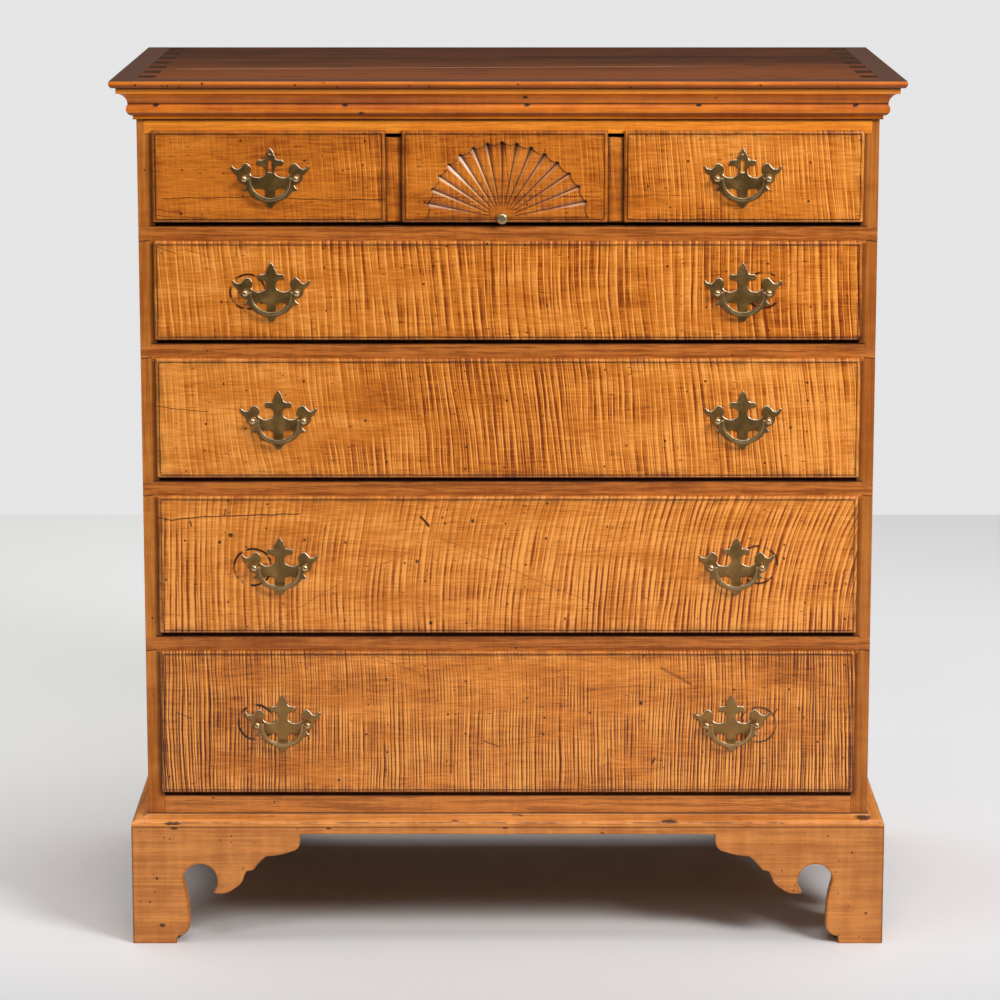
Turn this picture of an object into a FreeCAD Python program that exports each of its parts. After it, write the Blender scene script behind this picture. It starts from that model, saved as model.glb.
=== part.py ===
"""Flat-front chest of five graduated drawers on a bracket base, as a parametric FreeCAD document.

Frame: origin under the middle of the chest on the floor, X to the right, Z up, the front facing -Y.
Lengths are millimetres. Y positions below are counted from the case's front plane, back positive.
"""
import FreeCAD, Part
import math
import os

import Sketcher

# Driving dimensions: alias, value, what it measures.
DRIVING = (
    ("case_width", 914.0, "case over the outer faces of the two sides"),
    ("case_depth", 520.0, "case from its front plane to its back plane"),
    ("side_thickness", 21.0, "case side board"),
    ("top_thickness", 22.0, "case top board"),
    ("foot_height", 143.8, "floor to the underside of the case"),
    ("bottom_rail_height", 46.7, "rail under the lowest drawer"),
    ("opening_5", 184.4, "height of the lowest drawer opening"),
    ("opening_4", 175.8, "height of the fourth drawer opening"),
    ("opening_3", 151.0, "height of the third drawer opening"),
    ("opening_2", 123.7, "height of the second drawer opening"),
    ("opening_1", 113.8, "height of the top drawer opening"),
    ("top_rail_height", 44.8, "rail over the top drawer, up to the top board"),
    ("top_rail_inset", 8.7, "end of the top rail from the case's outer face"),
    ("rail_thickness", 22.0, "top and bottom rail, front to back"),
    ("divider_thickness", 23.0, "drawer divider, bottom to top"),
    ("divider_depth", 64.0, "drawer divider, front to back"),
    ("divider_tail_length", 13.4, "dovetail on each end of a divider"),
    ("divider_neck", 14.7, "height of that dovetail at its root"),
    ("divider_tail_end", 17.9, "height of that dovetail at its end"),
    ("top_pins", 7, "dovetail pins on the upper end of each side"),
    ("pin_outer", 32.0, "pin width at the outer face of a side"),
    ("pin_inner", 39.0, "pin width at the inner face of a side"),
    ("bottom_thickness", 18.0, "case bottom board"),
    ("bottom_housing", 8.0, "case bottom let into each side"),
    ("back_thickness", 14.0, "back board"),
    ("back_rabbet", 10.0, "back board let into each side"),
    ("back_count", 3, "back boards, one above the other"),
    ("back_joint", 0.8, "open joint between back boards"),
    ("runner_width", 20.0, "drawer runner inside the opening"),
    ("runner_housing", 4.0, "drawer runner let into each side"),
    ("runner_gap", 0.3, "running gap under a drawer"),
    ("cornice_projection", 31.0, "cornice beyond the case, front and sides"),
    ("cornice_height", 49.0, "cornice, flush with the top board"),
    ("cornice_foot", 4.0, "projection of the cornice's lowest fillet"),
    ("cornice_foot_height", 4.5, "height of that fillet"),
    ("cornice_bead", 11.6, "projection of the bead above it"),
    ("cornice_bead_height", 14.0, "height of the bead"),
    ("cornice_cove", 21.0, "projection at the top of the cove"),
    ("cornice_cove_height", 14.4, "height of the cove"),
    ("cornice_band", 22.9, "projection of the flat band over the cove"),
    ("cornice_nosing_height", 9.0, "rounded nosing at the top edge"),
    ("base_thickness", 20.6, "bracket base board, and how far it stands out"),
    ("base_strip", 10.2, "base board above the open span between the feet"),
    ("base_mould_height", 13.2, "moulding on the base boards"),
    ("base_mould_edge", 3.2, "upright edge of that moulding"),
    ("bracket_width", 214.6, "foot and bracket together"),
    ("leg_width", 64.8, "foot at its narrowest"),
    ("scroll_radius", 21.8, "round hole between foot and bracket"),
    ("scroll_drop", 60.8, "middle of that hole below the case"),
    ("scroll_unit", 1.0, "one unit of the foot's scroll outline"),
    ("rear_bracket_thickness", 18.0, "plain bracket behind each rear foot"),
    ("rear_bracket_width", 190.0, "that bracket at its upper edge"),
    ("rear_bracket_foot", 62.0, "that bracket at the floor"),
    ("block_size", 40.0, "corner glue block, each way"),
    ("block_lift", 3.0, "glue block above the floor"),
    ("front_proud", 8.0, "drawer lip, standing out from the case"),
    ("front_inner", 14.0, "drawer front behind its lip"),
    ("lip_gap", 0.3, "drawer lip from the case front"),
    ("lip_side", 2.5, "lip over each case side"),
    ("lip_top", 4.3, "lip over the divider above"),
    ("front_gap", 4.0, "drawer front above the divider below"),
    ("top_gap", 5.0, "drawer below the divider above"),
    ("side_gap", 1.5, "drawer from each case side"),
    ("mould_width", 4.6, "thumbnail moulding round a drawer front"),
    ("mould_radius", 4.0, "quarter round of that moulding"),
    ("mould_step", 1.0, "small step at its inner edge"),
    ("centre_half", 127.0, "half the fan-carved field of the top drawer"),
    ("field_shift", -4.0, "middle of that field from the middle of the case"),
    ("strip_width", 20.0, "sunk strip between the fields of the top drawer"),
    ("drawer_side_thickness", 13.0, "drawer side"),
    ("drawer_back_thickness", 13.0, "drawer back"),
    ("drawer_bottom_thickness", 9.0, "drawer bottom"),
    ("drawer_rear_gap", 12.0, "closed drawer from the back boards"),
    ("groove_depth", 6.0, "drawer bottom let into front and sides"),
    ("groove_height", 8.0, "drawer bottom above the sides' lower edges"),
    ("tail_lap", 11.0, "drawer side's tails let into the front"),
    ("dove_pin", 9.0, "pin between two tails, at its narrow face"),
    ("dove_flare", 3.0, "flare of a tail on each of its edges"),
    ("tails_1", 3, "tails on a corner of the top drawer"),
    ("tails_2", 3, "tails on a corner of the second drawer"),
    ("tails_3", 4, "tails on a corner of the third drawer"),
    ("tails_4", 4, "tails on a corner of the fourth drawer"),
    ("tails_5", 5, "tails on a corner of the lowest drawer"),
    ("fan_shift", -7.2, "hub of the fan from the middle of the case"),
    ("fan_radius", 95.5, "fan, hub to the points of its rim"),
    ("fan_stretch", 0.13, "share by which the rim runs further out at its right end"),
    ("fan_petals", 16, "petals of the fan"),
    ("fan_groove_depth", 3.2, "groove between two petals, below them at the rim"),
    ("fan_sink", 1.2, "petals below the field"),
    ("fan_groove_width", 10.0, "that groove's width at the rim"),
    ("fan_scallop", 4.5, "rim drawn in between two points"),
    ("fan_hub_height", 6.0, "hub above the front's lower edge"),
    ("knob_radius", 7.2, "brass knob on the hub"),
    ("knob_height", 7.0, "knob standing out from the field"),
    ("knob_shank_radius", 2.0, "knob's pin"),
    ("knob_shank_length", 12.0, "knob's pin in the wood"),
    ("pull_left_1", 292.5, "left handle from the middle, top drawer"),
    ("pull_right_1", 289.0, "right handle from the middle, top drawer"),
    ("pull_left_2", 292.8, "left handle from the middle, second drawer"),
    ("pull_right_2", 290.8, "right handle from the middle, second drawer"),
    ("pull_left_3", 285.6, "left handle from the middle, third drawer"),
    ("pull_right_3", 292.7, "right handle from the middle, third drawer"),
    ("pull_left_4", 285.8, "left handle from the middle, fourth drawer"),
    ("pull_right_4", 286.6, "right handle from the middle, fourth drawer"),
    ("pull_left_5", 284.3, "left handle from the middle, lowest drawer"),
    ("pull_right_5", 282.6, "right handle from the middle, lowest drawer"),
    ("pull_drop", 1.0, "handle posts below mid-height of a front"),
    ("post_spacing", 63.5, "between the two posts of a handle"),
    ("plate_unit", 1.0, "one unit of the back plate's outline"),
    ("plate_thickness", 1.6, "brass back plate"),
    ("post_reach", 9.5, "plate face to the bail's axis"),
    ("ball_radius", 4.4, "ball head of a post"),
    ("neck_radius", 2.9, "post between plate and head"),
    ("shank_radius", 2.2, "post through the drawer front"),
    ("shank_fit", 0.3, "room round a shank in the wood and the plate"),
    ("nut_radius", 5.6, "nut inside the drawer, over its corners"),
    ("nut_thickness", 3.2, "that nut"),
    ("nut_fit", 0.05, "room round a shank in its nut"),
    ("shank_end", 2.0, "shank past its nut"),
    ("bail_pin_radius", 1.25, "turned-out end of a bail"),
    ("bail_pin_fit", 0.08, "room round that end in its post"),
    ("bail_inset", 7.0, "middle of a bail's arm inside its post"),
    ("bail_arm", 2.4, "bail's arm across"),
    ("bail_swell", 1.8, "how much thicker the middle of the grip is"),
    ("bail_shank", 2.0, "straight part of an arm below the axis"),
    ("bail_thickness", 3.2, "bail, front to back"),
    ("bail_round", 0.9, "rounding of a bail's edges"),
    ("slot_width", 5.0, "slot in the neck of the top drawer's plates"),
    ("slot_length", 15.0, "that slot"),
    ("slot_height", 14.5, "middle of that slot above the posts"),
    ("eye_radius", 1.5, "hole in the finial of those plates"),
    ("eye_height", 30.5, "that hole above the posts"),
)

doc = FreeCAD.newDocument("ChestOfDrawers")
sheet = doc.addObject("Spreadsheet::Sheet", "Dims")
for row, (alias, number, meaning) in enumerate(DRIVING, 1):
    sheet.set(f"A{row}", meaning)
    sheet.set(f"B{row}", str(number))
    sheet.setAlias(f"B{row}", alias)
doc.recompute()

DRAWERS = (1, 2, 3, 4, 5)
SIDES = (("left", -1), ("right", 1))
nodes = []


def value(expression):
    """Number of an expression on the sheet's cells."""
    return float(sheet.evalExpression(str(expression)))


def count(alias):
    """Whole number of repeats in one cell."""
    return max(1, round(value(f"Dims.{alias}")))


def opening_floor(drawer):
    """Z of the lower edge of a drawer's opening."""
    terms = ["Dims.foot_height", "Dims.bottom_rail_height"]
    for below in range(DRAWERS[-1], drawer, -1):
        terms += [f"Dims.opening_{below}", "Dims.divider_thickness"]
    return "(" + " + ".join(terms) + ")"


def opening_ceiling(drawer):
    """Z of the upper edge of a drawer's opening."""
    return f"({opening_floor(drawer)} + Dims.opening_{drawer})"


FRONT = "((Dims.cornice_projection - Dims.case_depth) / 2)"
HALF = "(Dims.case_width / 2)"
INNER = "(Dims.case_width / 2 - Dims.side_thickness)"
UNDER_TOP = f"({opening_ceiling(1)} + Dims.top_rail_height)"
TOP_FACE = f"({UNDER_TOP} + Dims.top_thickness)"
BASE_TOP = "(Dims.foot_height + Dims.base_strip)"
BACK_FACE = "(Dims.case_depth - Dims.back_thickness)"
FIELD = "(Dims.lip_gap + Dims.front_proud)"
PLATE_FACE = f"({FIELD} + Dims.plate_thickness)"


def bind(thing, expressions):
    """Tie properties of an object to the sheet."""
    for name, expression in expressions.items():
        thing.setExpression(name, str(expression))


def place(thing, x="0", y="0", z="0"):
    """Put an object at x, y behind the case's front plane, and z above the floor."""
    bind(thing, {"Placement.Base.x": x, "Placement.Base.y": f"{FRONT} + ({y})", "Placement.Base.z": z})
    return thing


def node(thing):
    """Count an object as a sub-part of the chest."""
    nodes.append(thing)
    return thing


def board(name, x, y, z, length, width, height):
    """Plain board from its lowest corner and its size along X, Y and Z."""
    box = doc.addObject("Part::Box", name)
    bind(box, {"Length": length, "Width": width, "Height": height})
    return place(box, x, y, z)


def group(name, members):
    """Separate solids kept together under one name."""
    bundle = doc.addObject("Part::Compound", name)
    bundle.Links = members
    return bundle


def copy_at(name, pattern, x="0", y="0", z="0"):
    """A pattern repeated at a place of its own."""
    return place(group(name, [pattern]), x, y, z)


def cut(name, base, tools):
    """A base with the shapes of its neighbours cut out of it."""
    result = doc.addObject("Part::Cut", name)
    result.Base = base
    result.Tool = tools[0] if len(tools) == 1 else group(name + "_neighbours", tools)
    return result


def mirrored(name, source):
    """The same piece for the other side of the chest."""
    result = doc.addObject("Part::Mirroring", name)
    result.Source = source
    result.Normal = FreeCAD.Vector(1, 0, 0)
    return result


def origin_feature(body, role):
    """A body's own origin plane or axis."""
    return next(feature for feature in body.Origin.OriginFeatures if feature.Role == role)


def sketch_on(body, name, plane, offset="0"):
    """Empty sketch on one of the body's origin planes, moved along the plane's normal."""
    drawing = body.newObject("Sketcher::SketchObject", name)
    drawing.AttachmentSupport = [(origin_feature(body, plane), "")]
    drawing.MapMode = "FlatFace"
    drawing.setExpression("AttachmentOffset.Base.z", str(offset))
    return drawing


def held_point(geometry, position, x, y):
    """Rules that hold one point of a sketch at x, y from the sketch's origin."""
    return [
        (Sketcher.Constraint("DistanceX", -1, 1, geometry, position, value(x)), x),
        (Sketcher.Constraint("DistanceY", -1, 1, geometry, position, value(y)), y),
    ]


def apply_rules(drawing, rules):
    """Add constraints to a sketch together and tie the measured ones to the sheet."""
    first = drawing.ConstraintCount
    drawing.addConstraint([constraint for constraint, _ in rules])
    for index, (_, expression) in enumerate(rules, first):
        if expression is not None:
            drawing.setExpression(f"Constraints[{index}]", str(expression))


def draw(drawing, corners):
    """Closed outline. A corner is (x, y), or (x, y, via_x, via_y) where an arc leads to it."""
    points = [FreeCAD.Vector(value(corner[0]), value(corner[1]), 0) for corner in corners]
    ends = []
    for here, corner in enumerate(corners):
        before, after = points[here - 1], points[here]
        if len(corner) == 4:
            middle = FreeCAD.Vector(value(corner[2]), value(corner[3]), 0)
            geometry = drawing.addGeometry(Part.Arc(before, middle, after), False)
        else:
            geometry = drawing.addGeometry(Part.LineSegment(before, after), False)
        forward = drawing.getPoint(geometry, 2).distanceToPoint(after) < 1e-6
        ends.append((geometry, 1, 2) if forward else (geometry, 2, 1))
    rules = []
    for here, (geometry, _, last) in enumerate(ends):
        following, first, _ = ends[(here + 1) % len(ends)]
        rules.append((Sketcher.Constraint("Coincident", geometry, last, following, first), None))
        rules += held_point(geometry, last, corners[here][0], corners[here][1])
    apply_rules(drawing, rules)


def draw_rectangle(drawing, left, bottom, right, top):
    """Closed rectangle between two corners."""
    draw(drawing, [(left, bottom), (right, bottom), (right, top), (left, top)])


def draw_circle(drawing, x, y, radius):
    """Circle with its middle at x, y."""
    middle = FreeCAD.Vector(value(x), value(y), 0)
    geometry = drawing.addGeometry(Part.Circle(middle, FreeCAD.Vector(0, 0, 1), value(radius)), False)
    size = (Sketcher.Constraint("Radius", geometry, value(radius)), radius)
    apply_rules(drawing, held_point(geometry, 3, x, y) + [size])


def reflect(corners):
    """The same run of corners on the other side of x = 0, walked the other way."""
    turned = []
    for here in range(len(corners) - 1, -1, -1):
        x, y = corners[here][:2]
        via = corners[here + 1][2:] if here + 1 < len(corners) else ()
        turned.append((f"-({x})", y, f"-({via[0]})", via[1]) if via else (f"-({x})", y))
    return turned


def pad(body, drawing, length, back=False, both=False):
    """Solid raised from a sketch, against its normal with back, or to both sides of it."""
    feature = body.newObject("PartDesign::Pad", drawing.Name + "_pad")
    feature.Profile = drawing
    feature.setExpression("Length", str(length))
    feature.Reversed = back
    feature.SideType = "Symmetric" if both else "One side"
    body.Tip = feature
    return feature


def pocket(body, drawing):
    """A sketch cut right through its body, both ways."""
    feature = body.newObject("PartDesign::Pocket", drawing.Name + "_cut")
    feature.Profile = drawing
    feature.SideType = "Symmetric"
    feature.Type = "ThroughAll"
    body.Tip = feature
    return feature


def repeat(body, feature, axis, repeats, length):
    """A feature repeated along one of its body's axes."""
    pattern = body.newObject("PartDesign::LinearPattern", feature.Name + "_row")
    pattern.Originals = [feature]
    pattern.Direction = (origin_feature(body, axis), [""])
    pattern.Occurrences = repeats
    pattern.setExpression("Length", str(length))
    body.Tip = pattern
    return pattern


# Case: top board with sockets for the sides' dovetail pins.
def make_case_top():
    body = doc.addObject("PartDesign::Body", "case_top")
    plan = sketch_on(body, "top_plan", "XY_Plane")
    draw_rectangle(plan, f"-{HALF}", "0", HALF, "Dims.case_depth")
    pad(body, plan, "Dims.top_thickness")
    sockets = sketch_on(body, "top_sockets", "XY_Plane")
    middle = "Dims.case_depth / Dims.top_pins / 2"
    for sign in ("-", ""):
        draw(sockets, [
            (f"{sign}{HALF}", f"{middle} - Dims.pin_outer / 2"),
            (f"{sign}{INNER}", f"{middle} - Dims.pin_inner / 2"),
            (f"{sign}{INNER}", f"{middle} + Dims.pin_inner / 2"),
            (f"{sign}{HALF}", f"{middle} + Dims.pin_outer / 2"),
        ])
    first = pocket(body, sockets)
    repeat(body, first, "Y_Axis", count("top_pins"), "Dims.case_depth * (1 - 1 / Dims.top_pins)")
    return node(place(body, z=UNDER_TOP))


# Case: the four dividers between the drawers, with dovetails that show on the front edges of the sides.
def make_dividers():
    body = doc.addObject("PartDesign::Body", "divider_pattern")
    front = sketch_on(body, "divider_front", "XZ_Plane")
    root = f"({HALF} - Dims.divider_tail_length)"
    half_run = [
        (root, "-Dims.divider_thickness / 2"),
        (root, "-Dims.divider_neck / 2"),
        (HALF, "-Dims.divider_tail_end / 2"),
        (HALF, "Dims.divider_tail_end / 2"),
        (root, "Dims.divider_neck / 2"),
        (root, "Dims.divider_thickness / 2"),
    ]
    draw(front, half_run + reflect(half_run))
    pad(body, front, "Dims.divider_depth", back=True)
    dividers = []
    for drawer in DRAWERS[:-1]:
        height = f"{opening_floor(drawer)} - Dims.divider_thickness / 2"
        dividers.append(node(copy_at(f"drawer_divider_{drawer}", body, z=height)))
    return dividers


# Case: rails, bottom, back boards and the runners that carry the drawers.
def make_rails():
    reach = f"({HALF} - Dims.top_rail_inset)"
    top = board("top_rail", f"-{reach}", "0", opening_ceiling(1), f"2 * {reach}", "Dims.rail_thickness",
                "Dims.top_rail_height")
    bottom = board("bottom_rail", f"-{INNER}", "0", "Dims.foot_height", f"2 * {INNER}", "Dims.rail_thickness",
                   "Dims.bottom_rail_height")
    return node(top), node(bottom)


def make_case_bottom():
    reach = f"({INNER} + Dims.bottom_housing)"
    return node(board("case_bottom", f"-{reach}", "Dims.rail_thickness", "Dims.foot_height", f"2 * {reach}",
                      f"{BACK_FACE} - Dims.rail_thickness", "Dims.bottom_thickness"))


def make_back():
    reach = f"({INNER} + Dims.back_rabbet)"
    boards = []
    number = count("back_count")
    pitch = f"(({UNDER_TOP} - Dims.foot_height + Dims.back_joint) / {number})"
    for step in range(number):
        boards.append(board(f"back_board_{step + 1}", f"-{reach}", BACK_FACE, f"Dims.foot_height + {step} * {pitch}",
                            f"2 * {reach}", "Dims.back_thickness", f"{pitch} - Dims.back_joint"))
    return node(group("back_boards", boards))


def make_runners():
    wide = "(Dims.runner_width + Dims.runner_housing)"
    levels = [("top_kicker", "Dims.rail_thickness", opening_ceiling(1), UNDER_TOP)]
    for drawer in DRAWERS:
        lowest = drawer == DRAWERS[-1]
        start = "Dims.rail_thickness" if lowest else "Dims.divider_depth"
        under = "(Dims.foot_height + Dims.bottom_thickness)" if lowest else opening_ceiling(drawer + 1)
        over = f"({opening_floor(drawer)} + Dims.front_gap - Dims.runner_gap)"
        levels.append((f"runner_{drawer}", start, under, over))
    strips = []
    for name, start, under, over in levels:
        for side, sign in SIDES:
            edge = f"-({INNER} + Dims.runner_housing)" if sign < 0 else f"{INNER} - Dims.runner_width"
            strips.append(board(f"{name}_{side}", edge, start, under, wide, f"{BACK_FACE} - {start}",
                                f"{over} - {under}"))
    return node(group("drawer_runners", strips))


# Case: the two sides, cut to take everything that is let into them.
def make_case_sides(neighbours):
    for side, sign in SIDES:
        edge = f"-{HALF}" if sign < 0 else INNER
        blank = board(f"{side}_side_blank", edge, "0", "Dims.foot_height", "Dims.side_thickness",
                      "Dims.case_depth", f"{TOP_FACE} - Dims.foot_height")
        node(cut(f"{side}_case_side", blank, neighbours))


# Mouldings: a profile of (projection, height) corners run along the front and back along both sides, mitred.
def make_moulding(name, profile, projection, foot):
    front = doc.addObject("PartDesign::Body", f"{name}_front")
    section = sketch_on(front, f"{name}_front_section", "YZ_Plane")
    draw(section, [(f"-({c[0]})", c[1]) + ((f"-({c[2]})", c[3]) if len(c) == 4 else ()) for c in profile])
    pad(front, section, f"2 * ({HALF} + {projection})", both=True)
    mitre = sketch_on(front, f"{name}_front_mitre", "XY_Plane")
    for sign in ("-", ""):
        draw(mitre, [(f"{sign}{HALF}", "0"), (f"{sign}({HALF} + {projection})", "0"),
                     (f"{sign}({HALF} + {projection})", f"-{projection}")])
    pocket(front, mitre)
    place(front, z=foot)
    right = doc.addObject("PartDesign::Body", f"{name}_right")
    section = sketch_on(right, f"{name}_right_section", "XZ_Plane", projection)
    draw(section, [(f"{HALF} + {c[0]}", c[1]) + ((f"{HALF} + {c[2]}", c[3]) if len(c) == 4 else ())
                   for c in profile])
    pad(right, section, f"Dims.case_depth + {projection}", back=True)
    mitre = sketch_on(right, f"{name}_right_mitre", "XY_Plane")
    draw(mitre, [(HALF, f"-{projection}"), (f"{HALF} + {projection}", f"-{projection}"), (HALF, "0")])
    pocket(right, mitre)
    place(right, z=foot)
    return node(group(name, [front, mirrored(f"{name}_left", right), right]))


def make_cornice():
    bead = "(Dims.cornice_foot_height + Dims.cornice_bead_height)"
    cove = f"({bead} + Dims.cornice_cove_height)"
    nosing = "(Dims.cornice_height - Dims.cornice_nosing_height)"
    profile = [
        ("0", "0"),
        ("Dims.cornice_foot", "0"),
        ("Dims.cornice_foot", "Dims.cornice_foot_height"),
        ("Dims.cornice_bead - 2", bead, "Dims.cornice_bead", f"{bead} - Dims.cornice_bead_height / 2"),
        ("Dims.cornice_cove", cove, "Dims.cornice_bead + 1", f"{bead} + 0.62 * Dims.cornice_cove_height"),
        ("Dims.cornice_band", cove),
        ("Dims.cornice_band", nosing),
        ("Dims.cornice_projection - 4", nosing),
        ("Dims.cornice_projection - 1", "Dims.cornice_height",
         "Dims.cornice_projection", f"{nosing} + 0.6 * Dims.cornice_nosing_height"),
        ("0", "Dims.cornice_height"),
    ]
    make_moulding("cornice", profile, "Dims.cornice_projection", f"{TOP_FACE} - Dims.cornice_height")


def make_base_moulding():
    edge = "Dims.base_mould_edge"
    top = "Dims.base_mould_height"
    wide = "Dims.base_thickness"
    profile = [
        ("0", "0"),
        (wide, "0"),
        (wide, edge),
        (f"0.55 * {wide}", f"0.62 * {top}", f"0.84 * {wide}", f"{edge} + 0.33 * ({top} - {edge})"),
        ("1.5", f"{top} - 1", f"0.22 * {wide}", f"0.72 * {top}"),
        ("1.5", top),
        ("0", top),
    ]
    make_moulding("base_moulding", profile, wide, BASE_TOP)


# Base: the scroll-cut edge of one foot and bracket, from the floor inside the foot up to the open span.
# Heights count down from the span for the bracket and up from the floor for the foot.
def foot_edge(outer, inward):
    leg = "Dims.leg_width"
    hole = f"({leg} + 2 * Dims.scroll_radius)"
    eye = "(Dims.foot_height - Dims.scroll_drop)"
    span = "Dims.foot_height"
    end = "Dims.bracket_width"

    def off(base, number):
        return f"{base} + ({number}) * Dims.scroll_unit"

    corners = [
        (off(leg, -9.2), "0"),
        (off(leg, -7.8), off(0, 9.7)),
        (off(leg, 7.7), off(0, 30), off(leg, 4.2), off(0, 15.5)),
        (leg, eye, off(leg, 5.9), off(eye, -26)),
        (hole, eye, f"{leg} + Dims.scroll_radius", f"{eye} + Dims.scroll_radius"),
        (off(hole, -5.4), off(eye, -16.4), off(hole, -1), off(eye, -9)),
        (off(hole, 21.6), off(eye, -10.6), off(hole, 8.6), off(eye, -17)),
        (off(hole, 34), off(eye, 5.5), off(hole, 29.2), off(eye, -4.6)),
        (off(hole, 37), off(eye, 12)),
        (off(hole, 46), off(eye, 14)),
        (off(end, -43.6), off(span, -28.8), off(end, -52), off(span, -36.5)),
        (off(end, -11.6), off(span, -22.8), off(end, -27.6), off(span, -27.3)),
        (off(end, -0.6), off(span, -9.8), off(end, -3.6), off(span, -18.3)),
        (end, span),
    ]
    return [tuple(f"{outer} {inward} ({part})" if here % 2 == 0 else part for here, part in enumerate(corner))
            for corner in corners]


def walk_back(corners):
    """The same run of corners walked the other way."""
    turned = []
    for here in range(len(corners) - 1, -1, -1):
        via = corners[here + 1][2:] if here + 1 < len(corners) else ()
        turned.append(tuple(corners[here][:2]) + tuple(via))
    return turned


def make_base_boards():
    wide = f"({HALF} + Dims.base_thickness)"
    front = doc.addObject("PartDesign::Body", "base_front")
    plan = sketch_on(front, "base_front_plan", "XY_Plane")
    draw(plan, [(f"-{wide}", "-Dims.base_thickness"), (wide, "-Dims.base_thickness"), (HALF, "0"),
                (f"-{HALF}", "0")])
    pad(front, plan, BASE_TOP)
    opening = sketch_on(front, "base_front_opening", "XZ_Plane")
    draw(opening, foot_edge(f"-{wide}", "+") + walk_back(foot_edge(wide, "-")))
    pocket(front, opening)
    node(place(front))
    right = doc.addObject("PartDesign::Body", "base_right")
    plan = sketch_on(right, "base_right_plan", "XY_Plane")
    draw(plan, [(HALF, "0"), (wide, "-Dims.base_thickness"), (wide, "Dims.case_depth"),
                (HALF, "Dims.case_depth")])
    pad(right, plan, BASE_TOP)
    opening = sketch_on(right, "base_right_opening", "YZ_Plane")
    draw(opening, foot_edge("-Dims.base_thickness", "+") + walk_back(foot_edge("Dims.case_depth", "-")))
    pocket(right, opening)
    node(place(right))
    node(mirrored("base_left", right))


# Base: plain brackets behind the rear feet and glue blocks in the four corners.
def make_base_inside():
    right = doc.addObject("PartDesign::Body", "rear_bracket_right")
    face = sketch_on(right, "rear_bracket_face", "XZ_Plane")
    draw(face, [(HALF, "0"), (HALF, "Dims.foot_height"),
                (f"{HALF} - Dims.rear_bracket_width", "Dims.foot_height"),
                (f"{HALF} - Dims.rear_bracket_foot", "0")])
    pad(right, face, "Dims.rear_bracket_thickness", back=True)
    rear = "(Dims.case_depth - Dims.rear_bracket_thickness)"
    place(right, y=rear)
    node(group("rear_foot_brackets", [mirrored("rear_bracket_left", right), right]))
    blocks = []
    for side, sign in SIDES:
        edge = f"-{HALF}" if sign < 0 else f"{HALF} - Dims.block_size"
        for end, start in (("front", "0"), ("rear", f"{rear} - Dims.block_size")):
            blocks.append(board(f"glue_block_{end}_{side}", edge, start, "Dims.block_lift", "Dims.block_size",
                                "Dims.block_size", "Dims.foot_height - Dims.block_lift"))
    node(group("foot_glue_blocks", blocks))


# Handles: pierced brass back plate, drawn in its own plane round the middle of its two posts.
def make_plate_pattern():
    post = "Dims.post_spacing / 2"

    def unit(number):
        return f"({number}) * Dims.plate_unit"

    def by_post(number):
        return f"{post} + ({number}) * Dims.plate_unit"

    right = [
        ("0", unit(37.6)),
        (unit(4.4), unit(31.2)),
        (unit(4), unit(30.2)),
        (unit(7), unit(25.4)),
        (unit(6.5), unit(24.2)),
        (unit(12), unit(22.4), unit(8.8), unit(22.6)),
        (unit(16.4), unit(18.4), unit(15.6), unit(21.4)),
        (unit(13.2), unit(15.4), unit(15.9), unit(16.2)),
        (unit(6.4), unit(12.6), unit(9), unit(14.9)),
        (unit(9), unit(2.5), unit(5.4), unit(7)),
        (by_post(-6.6), unit(5.2), unit(16.5), unit(0.5)),
        (by_post(-5.4), unit(16.6), by_post(-8.3), unit(11.2)),
        (by_post(1.5), unit(16.5), by_post(-1.8), unit(18.1)),
        (by_post(5.9), unit(11.6)),
        (by_post(14.4), unit(15), by_post(10.6), unit(11.4)),
        (by_post(16), unit(11.8), by_post(16.2), unit(14)),
        (by_post(8.2), unit(3.6), by_post(12.6), unit(6.5)),
        (by_post(3.6), unit(-6.6), by_post(7.6), unit(-2.2)),
        (by_post(-2.6), unit(-9)),
        (by_post(2), unit(-14.4), by_post(-0.8), unit(-11.8)),
        (by_post(-4), unit(-15.6), by_post(-1), unit(-15.8)),
        (unit(11), unit(-28.6), unit(21), unit(-23.6)),
        (unit(4.6), unit(-33.4), unit(7.4), unit(-30.4)),
        ("0", unit(-37.1), unit(3), unit(-36)),
    ]
    hole = [
        (unit(6.2), unit(-14.8)),
        (by_post(-11), unit(-15.1), unit(14), unit(-12.7)),
        (unit(6.2), unit(-23.8), unit(15.5), unit(-20.9)),
    ]
    body = doc.addObject("PartDesign::Body", "plate_pattern")
    face = sketch_on(body, "plate_face", "XZ_Plane")
    draw(face, right)
    draw(face, hole)
    draw_circle(face, post, "0", "Dims.shank_radius + Dims.shank_fit")
    half = pad(body, face, "Dims.plate_thickness")
    whole = body.newObject("PartDesign::Mirrored", "plate_mirror")
    whole.Originals = [half]
    whole.MirrorPlane = (origin_feature(body, "YZ_Plane"), [""])
    body.Tip = whole
    return body


def make_pierced_plate(plate):
    slot = doc.addObject("Part::Box", "plate_slot")
    bind(slot, {"Length": "Dims.slot_width", "Width": "3 * Dims.plate_thickness", "Height": "Dims.slot_length",
                "Placement.Base.x": "-Dims.slot_width / 2", "Placement.Base.y": "-2 * Dims.plate_thickness",
                "Placement.Base.z": "Dims.slot_height - Dims.slot_length / 2"})
    eye = doc.addObject("Part::Cylinder", "plate_eye")
    eye.Placement.Rotation = FreeCAD.Rotation(FreeCAD.Vector(1, 0, 0), 90)
    bind(eye, {"Radius": "Dims.eye_radius", "Height": "3 * Dims.plate_thickness",
               "Placement.Base.y": "Dims.plate_thickness", "Placement.Base.z": "Dims.eye_height"})
    return cut("pierced_plate_pattern", plate, [slot, eye])


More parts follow.
